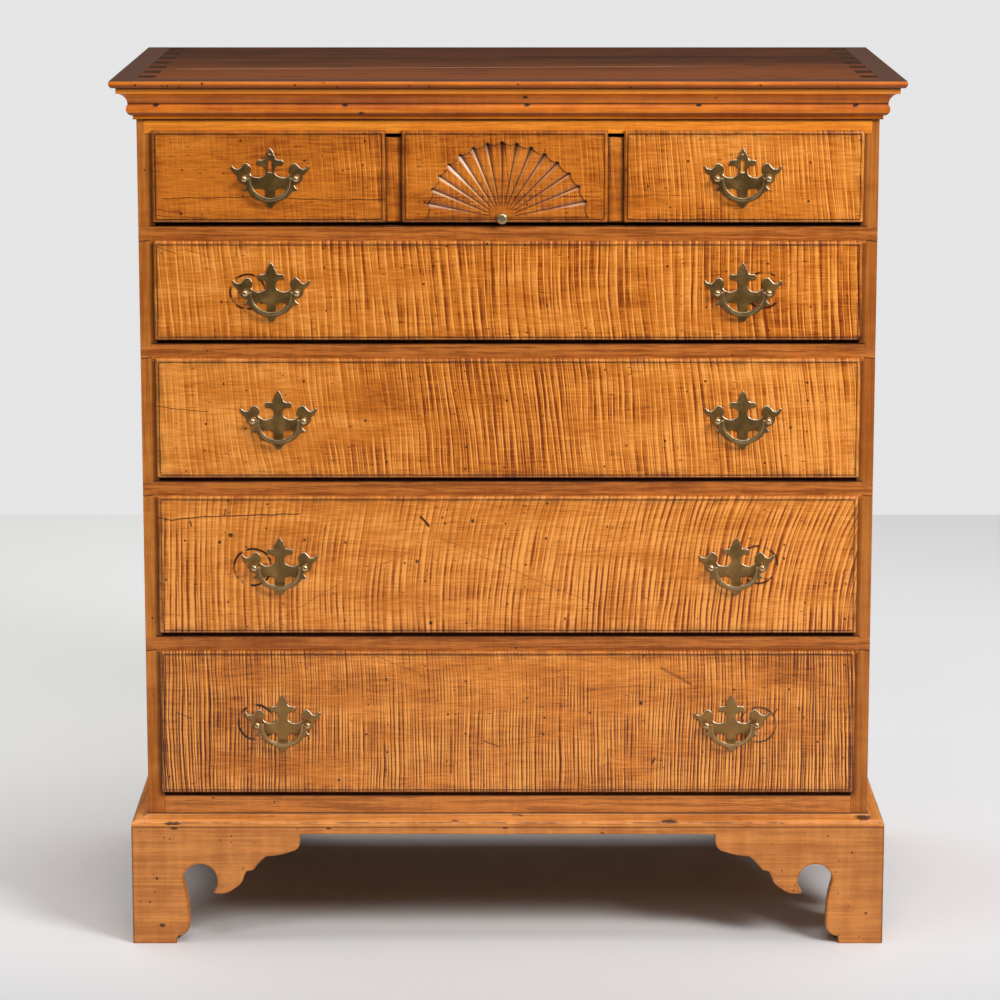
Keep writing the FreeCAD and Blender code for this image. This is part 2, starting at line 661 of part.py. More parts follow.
# Handles: turned brass post, its origin on the plate's face, with a cross hole for the bail and a nut inside.
def make_post_pattern():
    body = doc.addObject("PartDesign::Body", "post_pattern")
    inside = f"({PLATE_FACE} + Dims.front_inner + Dims.nut_thickness + Dims.shank_end)"
    reach = "Dims.post_reach"
    ball = "Dims.ball_radius"
    meet = f"sqrt({ball}^2 - Dims.neck_radius^2)"
    turning = sketch_on(body, "post_turning", "XY_Plane")
    draw(turning, [
        ("0", inside),
        ("0", f"-{reach} - {ball}"),
        ("Dims.neck_radius", f"-{reach} + {meet}", ball, f"-{reach}"),
        ("Dims.neck_radius", "-1.4"),
        ("Dims.neck_radius + 1", "-1.4"),
        ("Dims.neck_radius + 1", "0"),
        ("Dims.shank_radius", "0"),
        ("Dims.shank_radius", inside),
    ])
    turned = body.newObject("PartDesign::Revolution", "post_revolution")
    turned.Profile = turning
    turned.ReferenceAxis = (turning, ["V_Axis"])
    turned.Angle = 360
    body.Tip = turned
    cross = sketch_on(body, "post_cross_hole", "YZ_Plane")
    draw_circle(cross, f"-{reach}", "0", "Dims.bail_pin_radius + Dims.bail_pin_fit")
    pocket(body, cross)
    nut = doc.addObject("PartDesign::Body", "nut_pattern")
    face = sketch_on(nut, "nut_face", "XZ_Plane", f"-({PLATE_FACE} + Dims.front_inner)")
    corners = []
    for corner in range(6):
        x = math.cos(math.radians(60 * corner))
        z = math.sin(math.radians(60 * corner))
        corners.append((f"{x:.6f} * Dims.nut_radius", f"{z:.6f} * Dims.nut_radius"))
    draw(face, corners)
    draw_circle(face, "0", "0", "Dims.shank_radius + Dims.nut_fit")
    pad(nut, face, "Dims.nut_thickness", back=True)
    return group("post_and_nut_pattern", [body, nut])


# Handles: cast bail, its origin on the axis of its turned-out ends, hanging down.
def make_bail_pattern():
    arm = "(Dims.post_spacing / 2 - Dims.bail_inset)"
    outer = f"({arm} + Dims.bail_arm / 2)"
    inner = f"({arm} - Dims.bail_arm / 2)"
    crown = "(Dims.bail_pin_radius + 0.5)"
    body = doc.addObject("PartDesign::Body", "bail_bow")
    bow = sketch_on(body, "bail_outline", "XZ_Plane")
    upper = "(Dims.bail_swell - Dims.bail_shank)"
    draw(bow, [
        (f"-{outer}", crown),
        (f"-{outer}", "-Dims.bail_shank"),
        (outer, "-Dims.bail_shank", "0", f"-(Dims.bail_shank + {outer})"),
        (outer, crown),
        (inner, crown),
        (inner, upper),
        (f"-{inner}", upper, "0", f"{upper} - {inner}"),
        (f"-{inner}", crown),
    ])
    pad(body, bow, "Dims.bail_thickness", both=True)
    doc.recompute()
    bow_pad = body.Tip
    rounding = body.newObject("PartDesign::Fillet", "bail_rounding")
    half = value("Dims.bail_thickness") / 2
    rims = []
    for number, edge in enumerate(bow_pad.Shape.Edges, 1):
        box = edge.BoundBox
        if box.YLength < 1e-6 and abs(abs(box.YMin) - half) < 1e-6:
            rims.append(f"Edge{number}")
    rounding.Base = (bow_pad, rims)
    rounding.setExpression("Radius", "Dims.bail_round")
    body.Tip = rounding
    parts = [body]
    length = "(Dims.bail_inset - Dims.bail_arm / 2 + Dims.ball_radius - 1)"
    for side, sign in SIDES:
        pin = doc.addObject("Part::Cylinder", f"bail_pin_{side}")
        pin.Placement.Rotation = FreeCAD.Rotation(FreeCAD.Vector(0, 1, 0), 90)
        start = f"{outer} - Dims.bail_arm / 2" if sign > 0 else f"-({outer} + {length})"
        bind(pin, {"Radius": "Dims.bail_pin_radius", "Height": f"{length} + Dims.bail_arm / 2",
                   "Placement.Base.x": start})
        parts.append(pin)
    bail = doc.addObject("Part::MultiFuse", "bail_pattern")
    bail.Shapes = parts
    return bail


# Top drawer: a sunk half-round ground with a scalloped rim, its petals parted by V-shaped grooves.
# Each groove starts narrow under the knob and grows wider and deeper out to a point of the rim.
def make_fan_cutters(hub_height):
    petals = count("fan_petals")
    step = math.pi / petals
    sink = value("Dims.fan_sink")
    deep = value("Dims.fan_groove_depth")
    start = value("Dims.knob_radius") * 0.3
    proud = 1
    level = sink - 0.2

    def rim_radius(angle):
        right = ((1 + math.cos(angle)) / 2) ** 8
        return value("Dims.fan_radius") * (1 + value("Dims.fan_stretch") * right)

    def at(distance, angle, deep=-proud):
        return FreeCAD.Vector(distance * math.cos(angle), deep, distance * math.sin(angle))

    rim = []
    for petal in range(petals):
        low, middle, high = (step * (petal + share) for share in (0, 0.5, 1))
        dip = rim_radius(middle) - value("Dims.fan_scallop")
        rim.append(Part.Arc(at(rim_radius(low), low), at(dip, middle), at(rim_radius(high), high)).toShape())
    foot = Part.LineSegment(at(rim_radius(math.pi), math.pi), at(rim_radius(0), 0)).toShape()
    outline = Part.Face(Part.Wire(rim + [foot]))
    ground = outline.extrude(FreeCAD.Vector(0, proud + sink, 0))
    within = outline.extrude(FreeCAD.Vector(0, proud + sink + 2 * deep, 0))
    grooves = []
    for groove in range(1, petals):
        angle = step * groove
        far = rim_radius(angle)
        spread = value("Dims.fan_groove_width") / 2 / far
        tip = at(start, angle, level)
        bed = at(far, angle, sink + deep)
        left = at(far, angle + spread, level)
        right = at(far, angle - spread, level)
        end = at(far + deep, angle, level)
        faces = [Part.Face(Part.makePolygon(corners + corners[:1])) for corners in (
            [tip, left, bed], [tip, bed, right], [left, end, bed], [end, right, bed], [tip, right, end, left])]
        grooves.append(Part.Solid(Part.Shell(faces)).common(within))
    cutters = []
    for name, shape in (("fan_ground", ground), ("fan_grooves", Part.makeCompound(grooves))):
        cutter = doc.addObject("Part::Feature", name)
        cutter.Shape = shape
        cutters.append(place(cutter, "Dims.fan_shift", f"-{FIELD}", hub_height))
    return cutters


def make_fan_knob(hub_height):
    body = doc.addObject("PartDesign::Body", "drawer_1_fan_knob")
    turning = sketch_on(body, "knob_turning", "XY_Plane")
    draw(turning, [
        ("0", "Dims.knob_shank_length"),
        ("0", "-Dims.knob_height"),
        ("0.5 * Dims.knob_radius", "-0.95 * Dims.knob_height"),
        ("Dims.knob_radius", "-0.4 * Dims.knob_height", "0.86 * Dims.knob_radius", "-0.78 * Dims.knob_height"),
        ("Dims.knob_radius - 1", "0"),
        ("Dims.knob_shank_radius", "0"),
        ("Dims.knob_shank_radius", "Dims.knob_shank_length"),
    ])
    turned = body.newObject("PartDesign::Revolution", "knob_revolution")
    turned.Profile = turning
    turned.ReferenceAxis = (turning, ["V_Axis"])
    turned.Angle = 360
    body.Tip = turned
    return node(place(body, "Dims.fan_shift", f"-{FIELD}", hub_height))


# Drawers: lipped front with a thumbnail moulding, dovetailed to sides that ride on the runners.
def make_front(drawer, tall, fields):
    body = doc.addObject("PartDesign::Body", f"front_{drawer}_blank")
    half = f"({INNER} - Dims.side_gap)"
    crest = f"({tall} + Dims.top_gap + Dims.lip_top)"
    inner = sketch_on(body, f"front_{drawer}_inner", "XZ_Plane", "-Dims.front_inner")
    draw_rectangle(inner, f"-{half}", "0", half, tall)
    pad(body, inner, "Dims.front_inner + Dims.lip_gap")
    lip = sketch_on(body, f"front_{drawer}_lip", "XZ_Plane", "Dims.lip_gap")
    for left, right in fields:
        draw_rectangle(lip, left, "0", right, crest)
    lip_pad = pad(body, lip, "Dims.front_proud - Dims.mould_step")
    doc.recompute()
    face = -value(f"{FIELD} - Dims.mould_step")
    rims = []
    for number, edge in enumerate(lip_pad.Shape.Edges, 1):
        if abs(edge.BoundBox.YMin - face) < 1e-6 and abs(edge.BoundBox.YMax - face) < 1e-6:
            rims.append(f"Edge{number}")
    rounding = body.newObject("PartDesign::Fillet", f"front_{drawer}_thumbnail")
    rounding.Base = (lip_pad, rims)
    rounding.setExpression("Radius", "Dims.mould_radius")
    body.Tip = rounding
    raised = sketch_on(body, f"front_{drawer}_field", "XZ_Plane", f"{FIELD} - Dims.mould_step")
    for left, right in fields:
        draw_rectangle(raised, f"{left} + Dims.mould_width", "Dims.mould_width",
                       f"{right} - Dims.mould_width", f"{crest} - Dims.mould_width")
    pad(body, raised, "Dims.mould_step")
    bores = sketch_on(body, f"front_{drawer}_bores", "XZ_Plane")
    for hand, sign in SIDES:
        for step in (-1, 1):
            draw_circle(bores, f"{sign} * Dims.pull_{hand}_{drawer} + {step} * Dims.post_spacing / 2",
                        f"{crest} / 2 - Dims.pull_drop", "Dims.shank_radius + Dims.shank_fit")
    if drawer == DRAWERS[0]:
        draw_circle(bores, "Dims.fan_shift", "Dims.fan_hub_height", "Dims.knob_shank_radius")
    pocket(body, bores)
    return place(body, z=f"{opening_floor(drawer)} + Dims.front_gap")


def make_drawer(drawer, plate, post, bail):
    name = f"drawer_{drawer}"
    floor = f"({opening_floor(drawer)} + Dims.front_gap)"
    tall = f"(Dims.opening_{drawer} - Dims.front_gap - Dims.top_gap)"
    half = f"({INNER} - Dims.side_gap)"
    rear = f"({BACK_FACE} - Dims.drawer_rear_gap)"
    tails = count(f"tails_{drawer}")
    pitch = f"({tall} / {tails})"

    side = doc.addObject("PartDesign::Body", f"side_{drawer}_blank")
    long_face = sketch_on(side, f"side_{drawer}_face", "YZ_Plane")
    draw_rectangle(long_face, "Dims.front_inner", "0", f"{rear} - Dims.drawer_back_thickness", tall)
    pad(side, long_face, "Dims.drawer_side_thickness")
    tail = sketch_on(side, f"side_{drawer}_tails", "YZ_Plane")
    wide = f"({pitch} - Dims.dove_pin) / 2"
    for root, end in (("Dims.front_inner", "Dims.front_inner - Dims.tail_lap"),
                      (f"{rear} - Dims.drawer_back_thickness", rear)):
        draw(tail, [
            (root, f"{pitch} / 2 - {wide} + Dims.dove_flare"),
            (end, f"{pitch} / 2 - {wide}"),
            (end, f"{pitch} / 2 + {wide}"),
            (root, f"{pitch} / 2 + {wide} - Dims.dove_flare"),
        ])
    tail_pad = pad(side, tail, "Dims.drawer_side_thickness")
    repeat(side, tail_pad, "Z_Axis", tails, f"{pitch} * {tails - 1}")
    left = copy_at(f"side_{drawer}_left", side, f"-{half}", "0", floor)
    right = copy_at(f"side_{drawer}_right", side, f"{half} - Dims.drawer_side_thickness", "0", floor)
    pair = group(f"side_{drawer}_pair", [left, right])

    reach = f"({half} - Dims.drawer_side_thickness + Dims.groove_depth)"
    start = "(Dims.front_inner - Dims.groove_depth)"
    bottom = board(f"{name}_bottom", f"-{reach}", start, f"{floor} + Dims.groove_height", f"2 * {reach}",
                   f"{rear} - {start}", "Dims.drawer_bottom_thickness")
    sill = "(Dims.groove_height + Dims.drawer_bottom_thickness)"
    back = board(f"back_{drawer}_blank", f"-{half}", f"{rear} - Dims.drawer_back_thickness", f"{floor} + {sill}",
                 f"2 * {half}", "Dims.drawer_back_thickness", f"{tall} - {sill}")

    edge = f"({INNER} + Dims.lip_side)"
    fields = [(f"-{edge}", edge)]
    neighbours = [pair, bottom]
    if drawer == DRAWERS[0]:
        strip = "(Dims.centre_half + Dims.strip_width)"
        middle = "Dims.field_shift"
        fields = [(f"-{edge}", f"{middle} - {strip}"),
                  (f"{middle} - Dims.centre_half", f"{middle} + Dims.centre_half"),
                  (f"{middle} + {strip}", edge)]
        hub = f"{floor} + Dims.fan_hub_height"
        make_fan_knob(hub)
    front = make_front(drawer, tall, fields)
    if drawer == DRAWERS[0]:
        ground, grooves = make_fan_cutters(hub)
        front = cut("front_with_ground", front, [ground])
        front = cut("front_with_grooves", front, [grooves])
    node(cut(f"{name}_front", front, neighbours))
    node(cut(f"{name}_sides", pair, [bottom]))
    node(cut(f"{name}_back", back, [pair]))
    node(bottom)

    height = f"{floor} + ({tall} + Dims.top_gap + Dims.lip_top) / 2 - Dims.pull_drop"
    plates = []
    posts = []
    for hand, sign in SIDES:
        middle = f"{sign} * Dims.pull_{hand}_{drawer}"
        plates.append(copy_at(f"plate_{drawer}_{hand}", plate, middle, f"-{FIELD}", height))
        for place_name, step in (("outer", sign), ("inner", -sign)):
            posts.append(copy_at(f"post_{drawer}_{hand}_{place_name}", post,
                                 f"{middle} + {step} * Dims.post_spacing / 2", f"-{PLATE_FACE}", height))
        node(copy_at(f"{name}_bail_{hand}", bail, middle, f"-({PLATE_FACE} + Dims.post_reach)", height))
    node(group(f"{name}_plates", plates))
    node(group(f"{name}_posts", posts))


def write_parts():
    """Check every object, then write each sub-part to its own file."""
    doc.recompute()
    failed = [thing.Name for thing in doc.Objects if {"Invalid", "Error"} & set(thing.State)]
    bad = [thing.Label for thing in nodes if thing.Shape.isNull() or not thing.Shape.isValid()]
    if failed or bad:
        raise RuntimeError(f"failed objects {failed}, bad shapes {bad}")
    os.makedirs("parts", exist_ok=True)
    for thing in nodes:
        thing.Shape.exportStep(f"parts/{thing.Label}.step")
        print(f"{thing.Label}: {len(thing.Shape.Solids)} solids, {thing.Shape.Volume / 1000:.1f} cm3")
    box = Part.makeCompound([thing.Shape for thing in nodes]).BoundBox
    print(f"{len(nodes)} sub-parts, {box.XLength:.1f} x {box.YLength:.1f} x {box.ZLength:.1f} mm")


case_top = make_case_top()
case_dividers = make_dividers()
top_rail, bottom_rail = make_rails()
case_bottom = make_case_bottom()
back_boards = make_back()
runners = make_runners()
make_case_sides([case_top, top_rail, case_bottom, back_boards, runners] + case_dividers)
make_cornice()
make_base_boards()
make_base_moulding()
make_base_inside()
plain_plate = make_plate_pattern()
pierced_plate = make_pierced_plate(plain_plate)
post_and_nut = make_post_pattern()
bail_pattern = make_bail_pattern()
for drawer_number in DRAWERS:
    make_drawer(drawer_number, pierced_plate if drawer_number == 1 else plain_plate, post_and_nut, bail_pattern)
write_parts()
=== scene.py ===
import math
import bmesh
import bpy
from mathutils import Matrix, Vector


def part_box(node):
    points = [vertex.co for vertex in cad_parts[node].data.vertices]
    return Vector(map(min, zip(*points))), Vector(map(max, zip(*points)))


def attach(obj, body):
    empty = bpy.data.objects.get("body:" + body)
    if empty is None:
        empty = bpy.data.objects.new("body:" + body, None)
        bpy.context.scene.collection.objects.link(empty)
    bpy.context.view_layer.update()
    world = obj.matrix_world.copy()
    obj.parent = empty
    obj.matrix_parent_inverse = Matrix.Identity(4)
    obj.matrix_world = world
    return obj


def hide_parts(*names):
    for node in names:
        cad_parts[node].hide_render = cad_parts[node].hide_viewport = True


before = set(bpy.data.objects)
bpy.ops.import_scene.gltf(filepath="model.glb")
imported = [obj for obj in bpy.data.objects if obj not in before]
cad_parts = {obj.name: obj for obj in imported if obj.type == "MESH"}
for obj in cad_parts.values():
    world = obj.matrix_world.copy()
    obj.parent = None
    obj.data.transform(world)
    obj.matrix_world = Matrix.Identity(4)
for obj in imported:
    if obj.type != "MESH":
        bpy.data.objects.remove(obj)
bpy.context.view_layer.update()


# Case sides: two wide boards of plain maple with the grain upright, finished to a brown amber.
# Seven dovetail pins on the upper end of each come through the top board, and their ends carry the
# top's dark finish.
class Finish:
    """One socket of a node tree. Sums on it add Math nodes to that tree."""

    def __init__(self, tree, socket):
        self.tree = tree
        self.socket = socket

    def node(self, kind, settings, values, output=0):
        """Adds a node of a type: its settings first, then the values or links of its sockets."""
        made = self.tree.nodes.new(kind)
        for name, setting in settings.items():
            if name == "stops":
                for extra in setting[2:]:
                    made.color_ramp.elements.new(extra[0])
                for element, (position, level) in zip(made.color_ramp.elements, setting):
                    element.position = position
                    element.color = (level, level, level, 1.0)
            else:
                setattr(made, name, setting)
        for name, value in values.items():
            if isinstance(value, Finish):
                self.tree.links.new(value.socket, made.inputs[name])
            else:
                made.inputs[name].default_value = value
        return Finish(self.tree, made.outputs[output])

    def sum_of(self, operation, first, second=0.0):
        return self.node("ShaderNodeMath", {"operation": operation}, {0: first, 1: second})

    def __add__(self, other):
        return self.sum_of("ADD", self, other)

    def __sub__(self, other):
        return self.sum_of("SUBTRACT", self, other)

    def __rsub__(self, other):
        return self.sum_of("SUBTRACT", other, self)

    def __mul__(self, other):
        return self.sum_of("MULTIPLY", self, other)

    def __truediv__(self, other):
        return self.sum_of("DIVIDE", self, other)

    def __pow__(self, other):
        return self.sum_of("POWER", self, other)

    def __abs__(self):
        return self.sum_of("ABSOLUTE", self)

    __radd__ = __add__

    def least(self, other):
        return self.sum_of("MINIMUM", self, other)

    def most(self, other):
        return self.sum_of("MAXIMUM", self, other)

    def part(self):
        """What is left over a whole number."""
        return self.sum_of("FRACT", self)

    def rise(self, start, end):
        """From 0 at start to 1 at end, eased at both."""
        return self.node("ShaderNodeMapRange", {"interpolation_type": "SMOOTHSTEP"},
                         {"Value": self, "From Min": start, "From Max": end})

    def ramp(self, stops):
        """A level that follows stops of (position, level)."""
        return self.node("ShaderNodeValToRGB", {"stops": stops}, {"Fac": self})

    def split(self):
        """The three coordinates of a place."""
        return [self.node("ShaderNodeSeparateXYZ", {}, {"Vector": self}, axis) for axis in range(3)]

    def place(self, x, y, z):
        return self.node("ShaderNodeCombineXYZ", {}, {"X": x, "Y": y, "Z": z})

    def noise(self, stretch, detail=2.0, roughness=0.5):
        """Noise with that many features to the metre along each axis."""
        spread = self.node("ShaderNodeVectorMath", {"operation": "MULTIPLY"}, {0: self, 1: stretch})
        return self.node("ShaderNodeTexNoise", {},
                         {"Vector": spread, "Scale": 1.0, "Detail": detail, "Roughness": roughness})

    def spots(self, stretch, radius, share, plane="3D"):
        """Scattered round spots: features to the metre, radius against spacing, and the share kept."""
        spread = self.node("ShaderNodeVectorMath", {"operation": "MULTIPLY"}, {0: self, 1: stretch})
        cell = self.node("ShaderNodeTexVoronoi", {"voronoi_dimensions": plane},
                         {"Vector": spread, "Scale": 1.0})
        choice = Finish(self.tree, cell.socket.node.outputs["Color"]).split()
        size = choice[1] * 0.7 + 0.5
        return (1 - (cell / size).rise(radius * 0.5, radius)) * choice[0].rise(1.0 - share, 1.001 - share)

    def stain(self, ground, colour, share):
        """A colour laid over a ground by a share."""
        return self.node("ShaderNodeMix", {"data_type": "RGBA"}, {0: share, 6: ground, 7: colour}, 2)

    def edges(self, radius):
        """Normals rounded over near an outside edge, and how close the edge is."""
        rounded = self.node("ShaderNodeBevel", {"samples": 6}, {"Radius": radius})
        flat = self.node("ShaderNodeNewGeometry", {}, {}, 1)
        agreement = self.node("ShaderNodeVectorMath", {"operation": "DOT_PRODUCT"},
                              {0: rounded, 1: flat}, 1)
        return rounded, (1 - agreement).rise(0.005, 0.1)

    def corners(self, reach):
        """How far a spot lies in an inside corner of its own piece; finishes darken by it as painted shade
        and as dirty old finish.
        """
        open_sky = self.node("ShaderNodeAmbientOcclusion", {"samples": 3, "only_local": True},
                             {"Distance": reach}, 1)
        return 1 - open_sky


def shade(red, green, blue):
    """A colour as the eye reads it, 0 to 255, in the linear values that a shader takes."""
    return tuple(((level / 255 + 0.055) / 1.055) ** 2.4 for level in (red, green, blue)) + (1.0,)


def begin(name):
    """A new material, and the place of a spot on its piece."""
    material = bpy.data.materials.new(name)
    material.use_nodes = True
    tree = material.node_tree
    place = Finish(tree, tree.nodes.new("ShaderNodeTexCoord").outputs["Object"])
    return material, place


def varnish(material, colour, roughness, height, depth, coat=0.0, specular=0.3, rounded=None):
    """Joins colour, roughness and height to a material's shader, over rounded edges if they are given."""
    tree = material.node_tree
    shader = tree.nodes["Principled BSDF"]
    shader.inputs["Specular IOR Level"].default_value = specular
    shader.inputs["Coat Weight"].default_value = coat
    shader.inputs["Coat Roughness"].default_value = 0.25
    bumps = {"Strength": 1.0, "Distance": depth, "Height": height}
    if rounded:
        bumps["Normal"] = rounded
    relief = height.node("ShaderNodeBump", {}, bumps)
    tree.links.new(colour.socket, shader.inputs["Base Color"])
    tree.links.new(roughness.socket, shader.inputs["Roughness"])
    tree.links.new(relief.socket, shader.inputs["Normal"])
    return material


def mark(material, colour, share):
    """Lays one more colour over a finish by a share."""
    ground = material.node_tree.nodes["Principled BSDF"].inputs["Base Color"]
    laid = share.stain(Finish(share.tree, ground.links[0].from_socket), colour, share)
    share.tree.links.new(laid.socket, ground)


def dull(material, coat, share):
    """Takes the gloss and the coat off a finish where the share is 1."""
    inputs = material.node_tree.nodes["Principled BSDF"].inputs
    rough = Finish(share.tree, inputs["Roughness"].links[0].from_socket)
    share.tree.links.new((rough + (0.85 - rough) * share).socket, inputs["Roughness"])
    share.tree.links.new(((1 - share) * coat).socket, inputs["Coat Weight"])


def plain_maple(material, run, place, pale, deep, curl, streaks=0.65, specular=0.3, corner=0.008):
    """Maple with its grain along the first axis of run: fibres, pores, faint curl, and painted shade in its
    inside corners with the dirty old finish there.
    """
    fibre = run.noise((9.0, 360.0, 360.0), 3.0, 0.65)
    streak = run.noise((2.4, 85.0, 85.0), 4.0, 0.6)
    broad = run.noise((3.5, 9.0, 9.0), 2.0)
    ripple = run.noise((75.0, 9.0, 9.0), 2.0, 0.5)
    pore = run.spots((60.0, 260.0, 260.0), 0.2, 0.3)
    x, y, z = place.split()
    pit = place.place(x + y, z, 0.0).spots((26.0, 26.0, 1.0), 0.045, 0.1, "2D")
    mottle = place.noise((26.0, 26.0, 34.0), 3.0, 0.65)
    tone = (streak - 0.5) * streaks + (broad - 0.5) * 0.35 + (mottle - 0.5) * 0.5 + 0.5
    tone = tone + (fibre - 0.5) * (streaks + 0.15) + (ripple - 0.5) * curl
    colour = place.stain(deep, pale, tone.rise(0.2, 0.8))
    dark = tuple(level * 0.16 for level in deep[:3]) + (1.0,)
    colour = place.stain(colour, dark, (pore * 0.22).most(pit * 0.8))
    # Painted shade: darker in the piece's own inside corners, with old dirt there.
    colour = place.stain(colour, dark, place.corners(corner).rise(0.05, 0.55) * 0.9)
    roughness = 0.44 - broad * 0.12 + pore * 0.2
    return varnish(material, colour, roughness, fibre * 0.6 + ripple * 0.3, 0.00012, 0.1, specular)


def eased(node, body, material, width, angle=35.0, hollows=None):
    """A copy of a CAD node, with its triangles joined and its edges eased, which stands for the node."""
    joined = bmesh.new()
    joined.from_mesh(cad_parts[node].data)
    bmesh.ops.remove_doubles(joined, verts=joined.verts, dist=2e-6)
    bmesh.ops.dissolve_limit(joined, angle_limit=math.radians(0.5), verts=joined.verts, edges=joined.edges)
    bmesh.ops.recalc_face_normals(joined, faces=joined.faces)
    mesh = bpy.data.meshes.new(node + "_eased")
    joined.to_mesh(mesh)
    joined.free()
    if hollows:
        mesh = hollows(mesh)
    if "custom_normal" in mesh.attributes:
        mesh.attributes.remove(mesh.attributes["custom_normal"])
    for polygon in mesh.polygons:
        polygon.use_smooth = True
        polygon.material_index = 0
    mesh.set_sharp_from_angle(angle=math.radians(angle))
    mesh.materials.clear()
    mesh.materials.append(material)
    piece = bpy.data.objects.new(node + "_eased", mesh)
    bpy.context.scene.collection.objects.link(piece)
    bevel = piece.modifiers.new("eased_edges", "BEVEL")
    bevel.width = width
    bevel.segments = 2
    bevel.limit_method = "ANGLE"
    bevel.angle_limit = math.radians(angle)
    bevel.harden_normals = True
    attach(piece, body)
    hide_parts(node)


case_front = -0.2445
case_half = 0.457
top_level = 1.098
front_half = 0.4385
side_pale = shade(214, 134, 58)
side_deep = shade(168, 90, 28)
pin_dark = shade(18, 11, 9)


def side_maple():
    """Upright grain, a dark finish on the ends of the pins, a darker front edge on the right side, and
    painted shadow of the drawer lips beside the drawers.
    """
    material, place = begin("side_maple")
    x, y, z = place.split()
    plain_maple(material, place.place(z, y, x), place, side_pale, side_deep, 0.25, 0.85, specular=0.12)
    pins = z.rise(top_level - 0.0010, top_level - 0.0002)
    mark(material, pin_dark, pins * 0.95)
    dull(material, 0.1, pins)
    ahead = y.rise(case_front + 0.0015, case_front + 0.0005)
    mark(material, shade(126, 64, 26), x.rise(0.43, 0.44) * ahead * 0.32)
    # Painted shadow: the drawer lips' shadow on the sides' front edges beside the drawers.
    beside = abs(x).rise(front_half + 0.0065, front_half + 0.0010) * ahead
    drawers = z.rise(0.185, 0.195) * z.rise(1.040, 1.030)
    mark(material, shade(66, 32, 14), beside * drawers * 0.6)
    return material


side_finish = side_maple()
for side in ("left_case_side", "right_case_side"):
    eased(side, "case", side_finish, 0.0007)


# Top rail, bottom rail and four drawer dividers: straight maple bars with level grain, plainer and
# browner than the drawer fronts. The dividers' dovetails show on the front edges of the sides.
rail_pale = shade(208, 122, 48)
rail_deep = shade(152, 78, 24)
top_rail_pale = shade(255, 158, 48)
top_rail_deep = shade(224, 128, 34)
bottom_rail_pale = shade(224, 138, 60)
bottom_rail_deep = shade(172, 98, 38)
drawer_sills = (0.1905, 0.3979, 0.5967, 0.7707, 0.9174)
divider_middles = (0.3864, 0.5852, 0.7592, 0.9059)
cornice_foot = 1.048
tail_root = 0.4436
tail_half = 0.00733
tail_flare = 0.12


def rail_maple(name, pale, deep):
    """Level grain, with painted shadow under the cornice and under the drawer fronts, and dark seams below
    the dovetails.
    """
    material, place = begin(name)
    fine = place.node("ShaderNodeVectorMath", {"operation": "MULTIPLY"}, {0: place, 1: (3.0, 3.0, 3.0)})
    plain_maple(material, fine, place, pale, deep, 0.25, 2.0)
    x, y, z = place.split()
    # Painted shadow under the cornice and under each drawer front; the dovetail seams below are dark
    # joints.
    shade_and_dirt = z.rise(cornice_foot - 0.0016, cornice_foot)
    for sill in drawer_sills:
        shade_and_dirt = shade_and_dirt.most(z.rise(sill - 0.0022, sill - 0.0010) * z.rise(sill + 0.0010, sill + 0.0002))
    tail_edge = (abs(x) - tail_root) * tail_flare + tail_half
    for middle in divider_middles:
        seam = 1 - abs(z - middle + tail_edge).rise(0.0007, 0.0018)
        shade_and_dirt = shade_and_dirt.most(seam * abs(x).rise(tail_root - 0.0006, tail_root + 0.0004))
    ahead = y.rise(case_front + 0.0065, case_front + 0.0015)
    mark(material, shade(30, 14, 6), shade_and_dirt * ahead * 0.9)
    return material


divider_finish = rail_maple("divider_maple", rail_pale, rail_deep)
for divider in range(1, 5):
    eased(f"drawer_divider_{divider}", "case", divider_finish, 0.0007)
top_rail_finish = rail_maple("top_rail_maple", top_rail_pale, top_rail_deep)
eased("top_rail", "case", top_rail_finish, 0.0007)
bottom_rail_finish = rail_maple("bottom_rail_maple", bottom_rail_pale, bottom_rail_deep)
eased("bottom_rail", "case", bottom_rail_finish, 0.0007)


# Top board: one wide maple board, glued up from two and grown very dark with wear and old varnish.
# A pale glue line runs along it, and a drying crack opens from its right end to the middle.
top_pale = shade(110, 59, 28)
top_deep = shade(60, 33, 18)


def dark_top():
    """Dark level grain, redder in front, with stains, scuffs, the glue line and the crack."""
    material, place = begin("dark_top")
    x, y = place.split()[:2]
    streak = place.noise((2.5, 60.0, 60.0), 4.0, 0.6)
    cloud = place.noise((5.0, 9.0, 9.0), 3.0, 0.6)
    stain_ring = place.noise((16.0, 16.0, 16.0), 2.0).rise(0.6, 0.75)
    scuff = place.noise((40.0, 260.0, 260.0), 3.0, 0.7).rise(0.6, 0.72)
    front = y.rise(0.1, -0.24)
    tone = (streak - 0.5) * 0.8 + (cloud - 0.5) * 0.5 + front * 0.42 + 0.33
    colour = place.stain(top_deep, top_pale, tone.rise(0.2, 0.8))
    colour = place.stain(colour, shade(44, 28, 22), stain_ring * 0.45)
    colour = place.stain(colour, shade(150, 100, 70), scuff * 0.3)
    wander = place.noise((3.0, 3.0, 3.0), 2.0) * 0.004
    glue_line = x * 0.07 - 0.061
    glue = 1 - abs(y + wander - glue_line).rise(0.0008, 0.0034)
    ends = x.rise(-0.43, -0.4) * x.rise(0.32, 0.2)
    colour = place.stain(colour, shade(190, 142, 104), glue * ends * 0.75)
    crack_line = 0.108
    crack = 1 - abs(y + wander * 2.0 - crack_line).rise(0.0020, 0.0080)
    crack = crack * x.rise(-0.02, 0.02) * x.rise(0.436, 0.40)
    colour = place.stain(colour, shade(20, 12, 10), crack * 0.95)
    roughness = 0.66 - cloud * 0.12 + scuff * 0.1
    return varnish(material, colour, roughness, streak + scuff * 0.4, 0.0002, 0.0, 0.08)


eased("case_top", "case", dark_top(), 0.0008)


